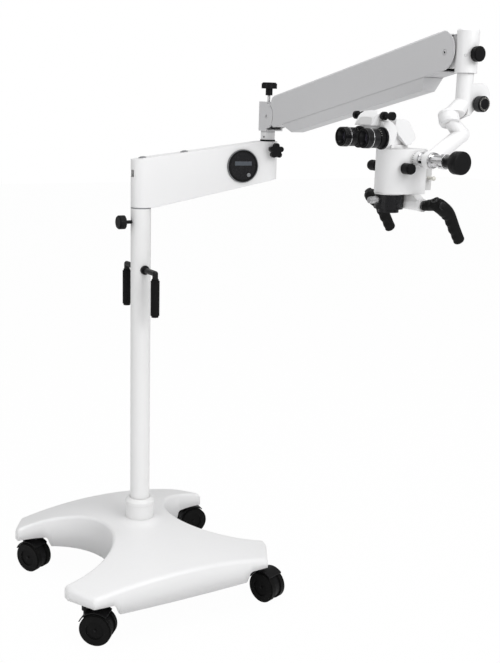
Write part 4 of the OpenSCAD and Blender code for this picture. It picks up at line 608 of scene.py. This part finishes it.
for side, body in ((1, "eye_left"), (-1, "eye_right")):
    end = "left" if side > 0 else "right"
    axis = onOptic(0, side * eye["gap"], eyeZ)
    face = axis + towardsUser * eye["face"]
    Shape().lathe(eye["lip"], towards(face, towardsUser), 56, caps=False).make(
        "cup_lip_" + end, body, blackRubber, "trim_black")
    for k, back in enumerate(eye["ribsAt"]):
        Shape().lathe(eye["rib"], towards(face - towardsUser * back, towardsUser), 56, caps=False).make(
            "cup_rib_" + end + str(k), body, blackRubber, "trim_black")
    Shape().lathe(eye["rim"], towards(face - towardsUser * eye["rimAt"], towardsUser), 64, caps=False).make(
        "eye_rim_" + end, body, chrome, "chrome_bright")
    glassPlace = towards(face - towardsUser * eye["glassAt"], towardsUser)
    Shape().lathe(eye["glass"], glassPlace).make("eye_glass_" + end, body, coatedGlass, "lens_glass")
    Shape().lathe(eye["seat"], glassPlace, 48, caps=False).make("eye_seat_" + end, body, blackAlloy, "trim_black")
    lowRing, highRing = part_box("diopter_ring_" + end)
    for k in range(eye["dots"]):
        turned = Matrix.Rotation(math.radians(eye["firstDot"] + eye["dotTurn"] * k), 3, "X") @ Vector((0, 0, 1))
        spot = Vector(((lowRing.x + highRing.x) / 2 - eye["dotBack"], axis.y, axis.z)) + turned * eye["dotOut"]
        Shape().lathe(eye["dot"], towards(spot, turned), 12).make(
            "diopter_dot_" + end + str(k), "diopter_" + end, ivory, "lever_white")
    upward = Vector(eye["markAim"]).normalized()
    spot = Vector((axis.x - eye["markAt"], axis.y, axis.z)) + upward * eye["markOut"]
    Shape().lathe(eye["mark"], towards(spot, upward), 14).make("eye_dot_" + end, body, ivory, "lever_white")
print("eyepieces dressed")

plate = {"low": 0.028, "high": 0.021, "tall": 0.0185, "thick": 0.0008, "corner": 0.003, "at": (-0.079, 0, 1.4005),
         "lean": (0.010, 0, 0.019), "lift": 0.0001, "arcSteps": 14}
slope = Vector(plate["lean"]).normalized()
out = Vector((-slope.z, 0, slope.x))
half, corner = plate["tall"] / 2, plate["corner"]
turns = [math.pi * i / plate["arcSteps"] for i in range(plate["arcSteps"] + 1)]
outline = [(-plate["low"], -half), (plate["low"], -half)]
outline += [(plate["high"] * math.cos(t), half - corner + corner * math.sin(t)) for t in turns]
Shape().prism(outline, 0, plate["thick"], frameOf(onOptic(*plate["at"]) + out * plate["lift"], front, out)).make(
    "blank_plate", "binocular", greyCover, "cover_grey", bevel=0.0003)

topScrew = {"at": (-0.026, -0.004), "sunk": 0.0001, "radius": 0.0036, "tall": 0.0026}
Shape().socketScrew(topScrew["radius"], topScrew["tall"],
                    Matrix.Translation(onOptic(*topScrew["at"], bodyTop - topScrew["sunk"]))).make(
    "top_screw", "head", blackAlloy, "trim_black")

lowLens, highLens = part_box("objective_housing")
lensR = (highLens.y - lowLens.y) / 2
trimRing = {"out": 0.0014, "tall": 0.0024, "gap": 0.0001, "edge": 0.0003}
gap, tall = lensR + trimRing["gap"], trimRing["tall"]
Shape().lathe([(gap, 0), (lensR + trimRing["out"], trimRing["edge"]), (lensR + trimRing["out"], tall), (gap, tall)],
              Matrix.Translation(onOptic(0, 0, bodyBottom - tall)), 96, caps=False).make(
    "lens_trim", "head", whiteCast, "cast_white")
focusCollar = {"down": 0.015, "profile": [(0.0105, -0.001), (0.0105, 0.0012), (0.009, 0.0017)]}
collarAt = onOptic(-lensR, 0, bodyBottom - focusCollar["down"])
Shape().lathe(focusCollar["profile"], towards(collarAt, towardsUser)).make(
    "focus_collar", "head", blackAlloy, "trim_black")

# A thin grey sheet on the bracket web's face towards the user is painted shade, standing for the shade on that face.
bracket = {"front": 0.0240, "down": 0.022, "low": (0.070, 0.008), "high": (0.0525, 0.0205),
           "inner": 0.036, "thick": 0.0007}
bridge = onOptic(bracket["front"], 0, bodyBottom - bracket["down"])
for side in (-1, 1):
    (lowWide, lowUp), (highWide, highUp), inside = bracket["low"], bracket["high"], bracket["inner"]
    outline = [(side * inside, lowUp), (side * lowWide, lowUp), (side * highWide, highUp), (side * inside, highUp)]
    Shape().prism(outline, 0, bracket["thick"], frameOf(bridge, front, towardsUser)).make(
        "bracket_shade_panel" + sideEnd(side), "head", greyCover, "cast_white", bevel=0.0003)
print("objective and bracket dressed")

# Places from the optical axis at the body's lower end; "radius" gives shares of the path and radii.
grip = {"root": (0.034, 0.0825, -0.022), "elbow": (0.041, 0.1185, -0.0175), "tip": (0.110, 0.121, -0.102),
        "rise": (0.45, (0, 0, 0.001)), "ahead": (0.30, (0.007, 0.002, 0.005)),
        "beyond": (0.66, (0.003, 0.0008, 0.003)),
        "radius": ((0.0, 0.0115), (0.10, 0.0130), (0.28, 0.0160), (0.42, 0.0162), (0.62, 0.0144), (0.92, 0.0132)),
        "inner": (-0.62, 0, -0.785), "rounded": 0.945, "least": 0.02, "waves": (0.40, 0.06, 0.95, 0.05),
        "firstWave": 0.42, "waveSpan": 0.52, "fingers": 4, "wave": 0.0026, "flat": 0.9, "slices": 78, "around": 28,
        "disc": [(0.0088, -0.001), (0.0088, 0.0010), (0.0078, 0.0013), (0.0070, 0.0006), (0.0030, 0.0004),
                 (0.0001, 0.0004)],
        "discAim": (-0.62, 0, 0.785), "discUp": 0.0150, "discSide": 0.0140}


def smooth(knots, count):
    line = []
    for i in range(count):
        t = (len(knots) - 1) * i / (count - 1)
        k = min(int(t), len(knots) - 2)
        f = t - k
        a, b, c, d = knots[max(k - 1, 0)], knots[k], knots[k + 1], knots[min(k + 2, len(knots) - 1)]
        bend, twist = 2 * a - 5 * b + 4 * c - d, 3 * b - a - 3 * c + d
        line.append(0.5 * (2 * b + (c - a) * f + bend * f * f + twist * f ** 3))
    return line


def handle(s, side):
    root, elbow, tip = (Vector(s[k]) for k in ("root", "elbow", "tip"))
    stops = [(root, elbow, s["rise"]), (elbow, tip, s["ahead"]), (elbow, tip, s["beyond"])]
    rise, ahead, beyond = (a.lerp(b, share) + Vector(shift) for a, b, (share, shift) in stops)
    line = smooth([root, rise, elbow, ahead, beyond, tip], s["slices"])
    gone = [0.0]
    for a, b in zip(line, line[1:]):
        gone.append(gone[-1] + (b - a).length)
    shape, loops = Shape(), []
    inner = Vector(s["inner"])
    waveStart, waveIn, waveStop, waveOut = s["waves"]
    for i, p in enumerate(line):
        share = gone[i] / gone[-1]
        r = s["radius"][-1][1]
        for (s0, r0), (s1, r1) in zip(s["radius"], s["radius"][1:]):
            if s0 <= share <= s1:
                e = (share - s0) / (s1 - s0)
                r = r0 + (r1 - r0) * e * e * (3 - 2 * e)
        closing = max(0.0, (share - s["rounded"]) / (1 - s["rounded"]))
        if closing:
            r *= math.sqrt(max(s["least"], 1 - closing * closing))
        path = (line[min(i + 1, s["slices"] - 1)] - line[max(i - 1, 0)]).normalized()
        sideways = path.cross(inner).normalized()
        under = sideways.cross(path).normalized()
        if under.dot(inner) < 0:
            under = -under
        ripple = max(0.0, min(1.0, (share - waveStart) / waveIn, (waveStop - share) / waveOut))
        swing = math.cos(2 * math.pi * s["fingers"] * (share - s["firstWave"]) / s["waveSpan"])
        dip = s["wave"] * ripple * (0.5 + 0.5 * swing)
        ring = []
        for k in range(s["around"]):
            t = 2 * math.pi * k / s["around"]
            q = r - dip * max(0.0, math.cos(t)) ** 2
            v = p + under * q * math.cos(t) + sideways * q * s["flat"] * math.sin(t)
            ring.append((v.x, side * v.y, v.z))
        loops.append(shape.loop(ring, Matrix.Translation(onOptic(0, 0, bodyBottom))))
    return shape.tube(loops)


for side in (-1, 1):
    held = handle(grip, side).make("handle" + sideEnd(side), "head", gripRubber, "grip_rubber", angle=60)
    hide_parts("handle_grips")
    x, y, z = grip["elbow"]
    for name, aim, reach in (("a", (0, side, 0), grip["discSide"]), ("b", grip["discAim"], grip["discUp"])):
        spot = onOptic(x, side * y, bodyBottom + z) + Vector(aim) * reach
        Shape().lathe(grip["disc"], towards(spot, aim), caps=False).make(
            "elbow_disc" + sideEnd(side) + name, "head", blackAlloy, "trim_black")
print("handles curved")

floorSettings = {"half": 14, "under": 0.0004, "light": (0.9, 0.9, 0.9, 1), "tone": (0.92, 0.92, 0.92, 1),
                 "glow": 0.98}
bpy.ops.mesh.primitive_plane_add(size=2 * floorSettings["half"], location=(0, 0, -floorSettings["under"]))
floor = bpy.context.object
floor.name = "floor"


def floorLook(s):
    g = Graph("floorLook")
    ray = g.add("ShaderNodeLightPath", out="Is Camera Ray")
    g.set(Base_Color=g.mix(g.noise(3, 4), s["light"], s["tone"]), Roughness=0.7)
    glow = g.add("ShaderNodeEmission", {}, {"Color": (1, 1, 1, 1), "Strength": 1.0})
    blend = g.add("ShaderNodeMixShader", {}, {0: ray * s["glow"], 1: Sock(g, g.shader.outputs[0]), 2: glow})
    g.feed(g.tree.nodes["Material Output"].inputs["Surface"], blend)
    return g.material


floor.data.materials.append(floorLook(floorSettings))

# The world lights softly and shows white to the camera.
worldLight = 0.42
world = bpy.data.worlds.new("studio")
bpy.context.scene.world = world
world.use_nodes = True
tree = world.node_tree
back = tree.nodes["Background"]
back.inputs[0].default_value = (1, 1, 1, 1)
back.inputs[1].default_value = worldLight
white = tree.nodes.new("ShaderNodeBackground")
white.inputs[0].default_value = (1, 1, 1, 1)
white.inputs[1].default_value = 1.0
path = tree.nodes.new("ShaderNodeLightPath")
pick = tree.nodes.new("ShaderNodeMixShader")
tree.links.new(path.outputs["Is Camera Ray"], pick.inputs[0])
tree.links.new(back.outputs[0], pick.inputs[1])
tree.links.new(white.outputs[0], pick.inputs[2])
tree.links.new(pick.outputs[0], tree.nodes["World Output"].inputs[0])

lights = {
    "key": {"place": (0.9, -4.4, 3.2), "look": (0.2, -0.4, 0.9), "size": 2.6, "power": 114},
    "top": {"place": (0.2, -0.4, 4.4), "look": (0.2, -0.4, 0.8), "size": 3.0, "power": 70},
    "fill": {"place": (-3.6, -1.2, 2.2), "look": (0.2, -0.4, 0.9), "size": 2.6, "power": 30},
}
for name, s in lights.items():
    data = bpy.data.lights.new(name, "AREA")
    data.energy = s["power"]
    data.size = s["size"]
    lamp = bpy.data.objects.new(name, data)
    lamp.location = s["place"]
    lamp.rotation_euler = (Vector(s["look"]) - Vector(s["place"])).to_track_quat("-Z", "Y").to_euler()
    bpy.context.scene.collection.objects.link(lamp)

view = {"place": (-1.1853, -2.5722, 1.4303), "turn": -31.156, "pitch": 12.847, "roll": 1.648, "lens": 54.303,
        "sensor": 36, "near": 0.05, "far": 60}
turn, pitch, roll = (math.radians(view[k]) for k in ("turn", "pitch", "roll"))
ahead = Vector((-math.sin(turn) * math.cos(pitch), math.cos(turn) * math.cos(pitch), -math.sin(pitch)))
right = Vector((math.cos(turn), math.sin(turn), 0))
up = right.cross(ahead)
rightRolled = right * math.cos(roll) + up * math.sin(roll)
upRolled = up * math.cos(roll) - right * math.sin(roll)
camera = bpy.data.objects.new("camera", bpy.data.cameras.new("camera"))
camera.data.lens = view["lens"]
camera.data.sensor_width = view["sensor"]
camera.data.clip_start = view["near"]
camera.data.clip_end = view["far"]
facing = Matrix((rightRolled, upRolled, -ahead)).transposed().to_4x4()
camera.matrix_world = Matrix.Translation(view["place"]) @ facing
bpy.context.scene.collection.objects.link(camera)
bpy.context.scene.camera = camera
bpy.context.scene.view_settings.view_transform = "Standard"
print("stage, lights and camera ready")
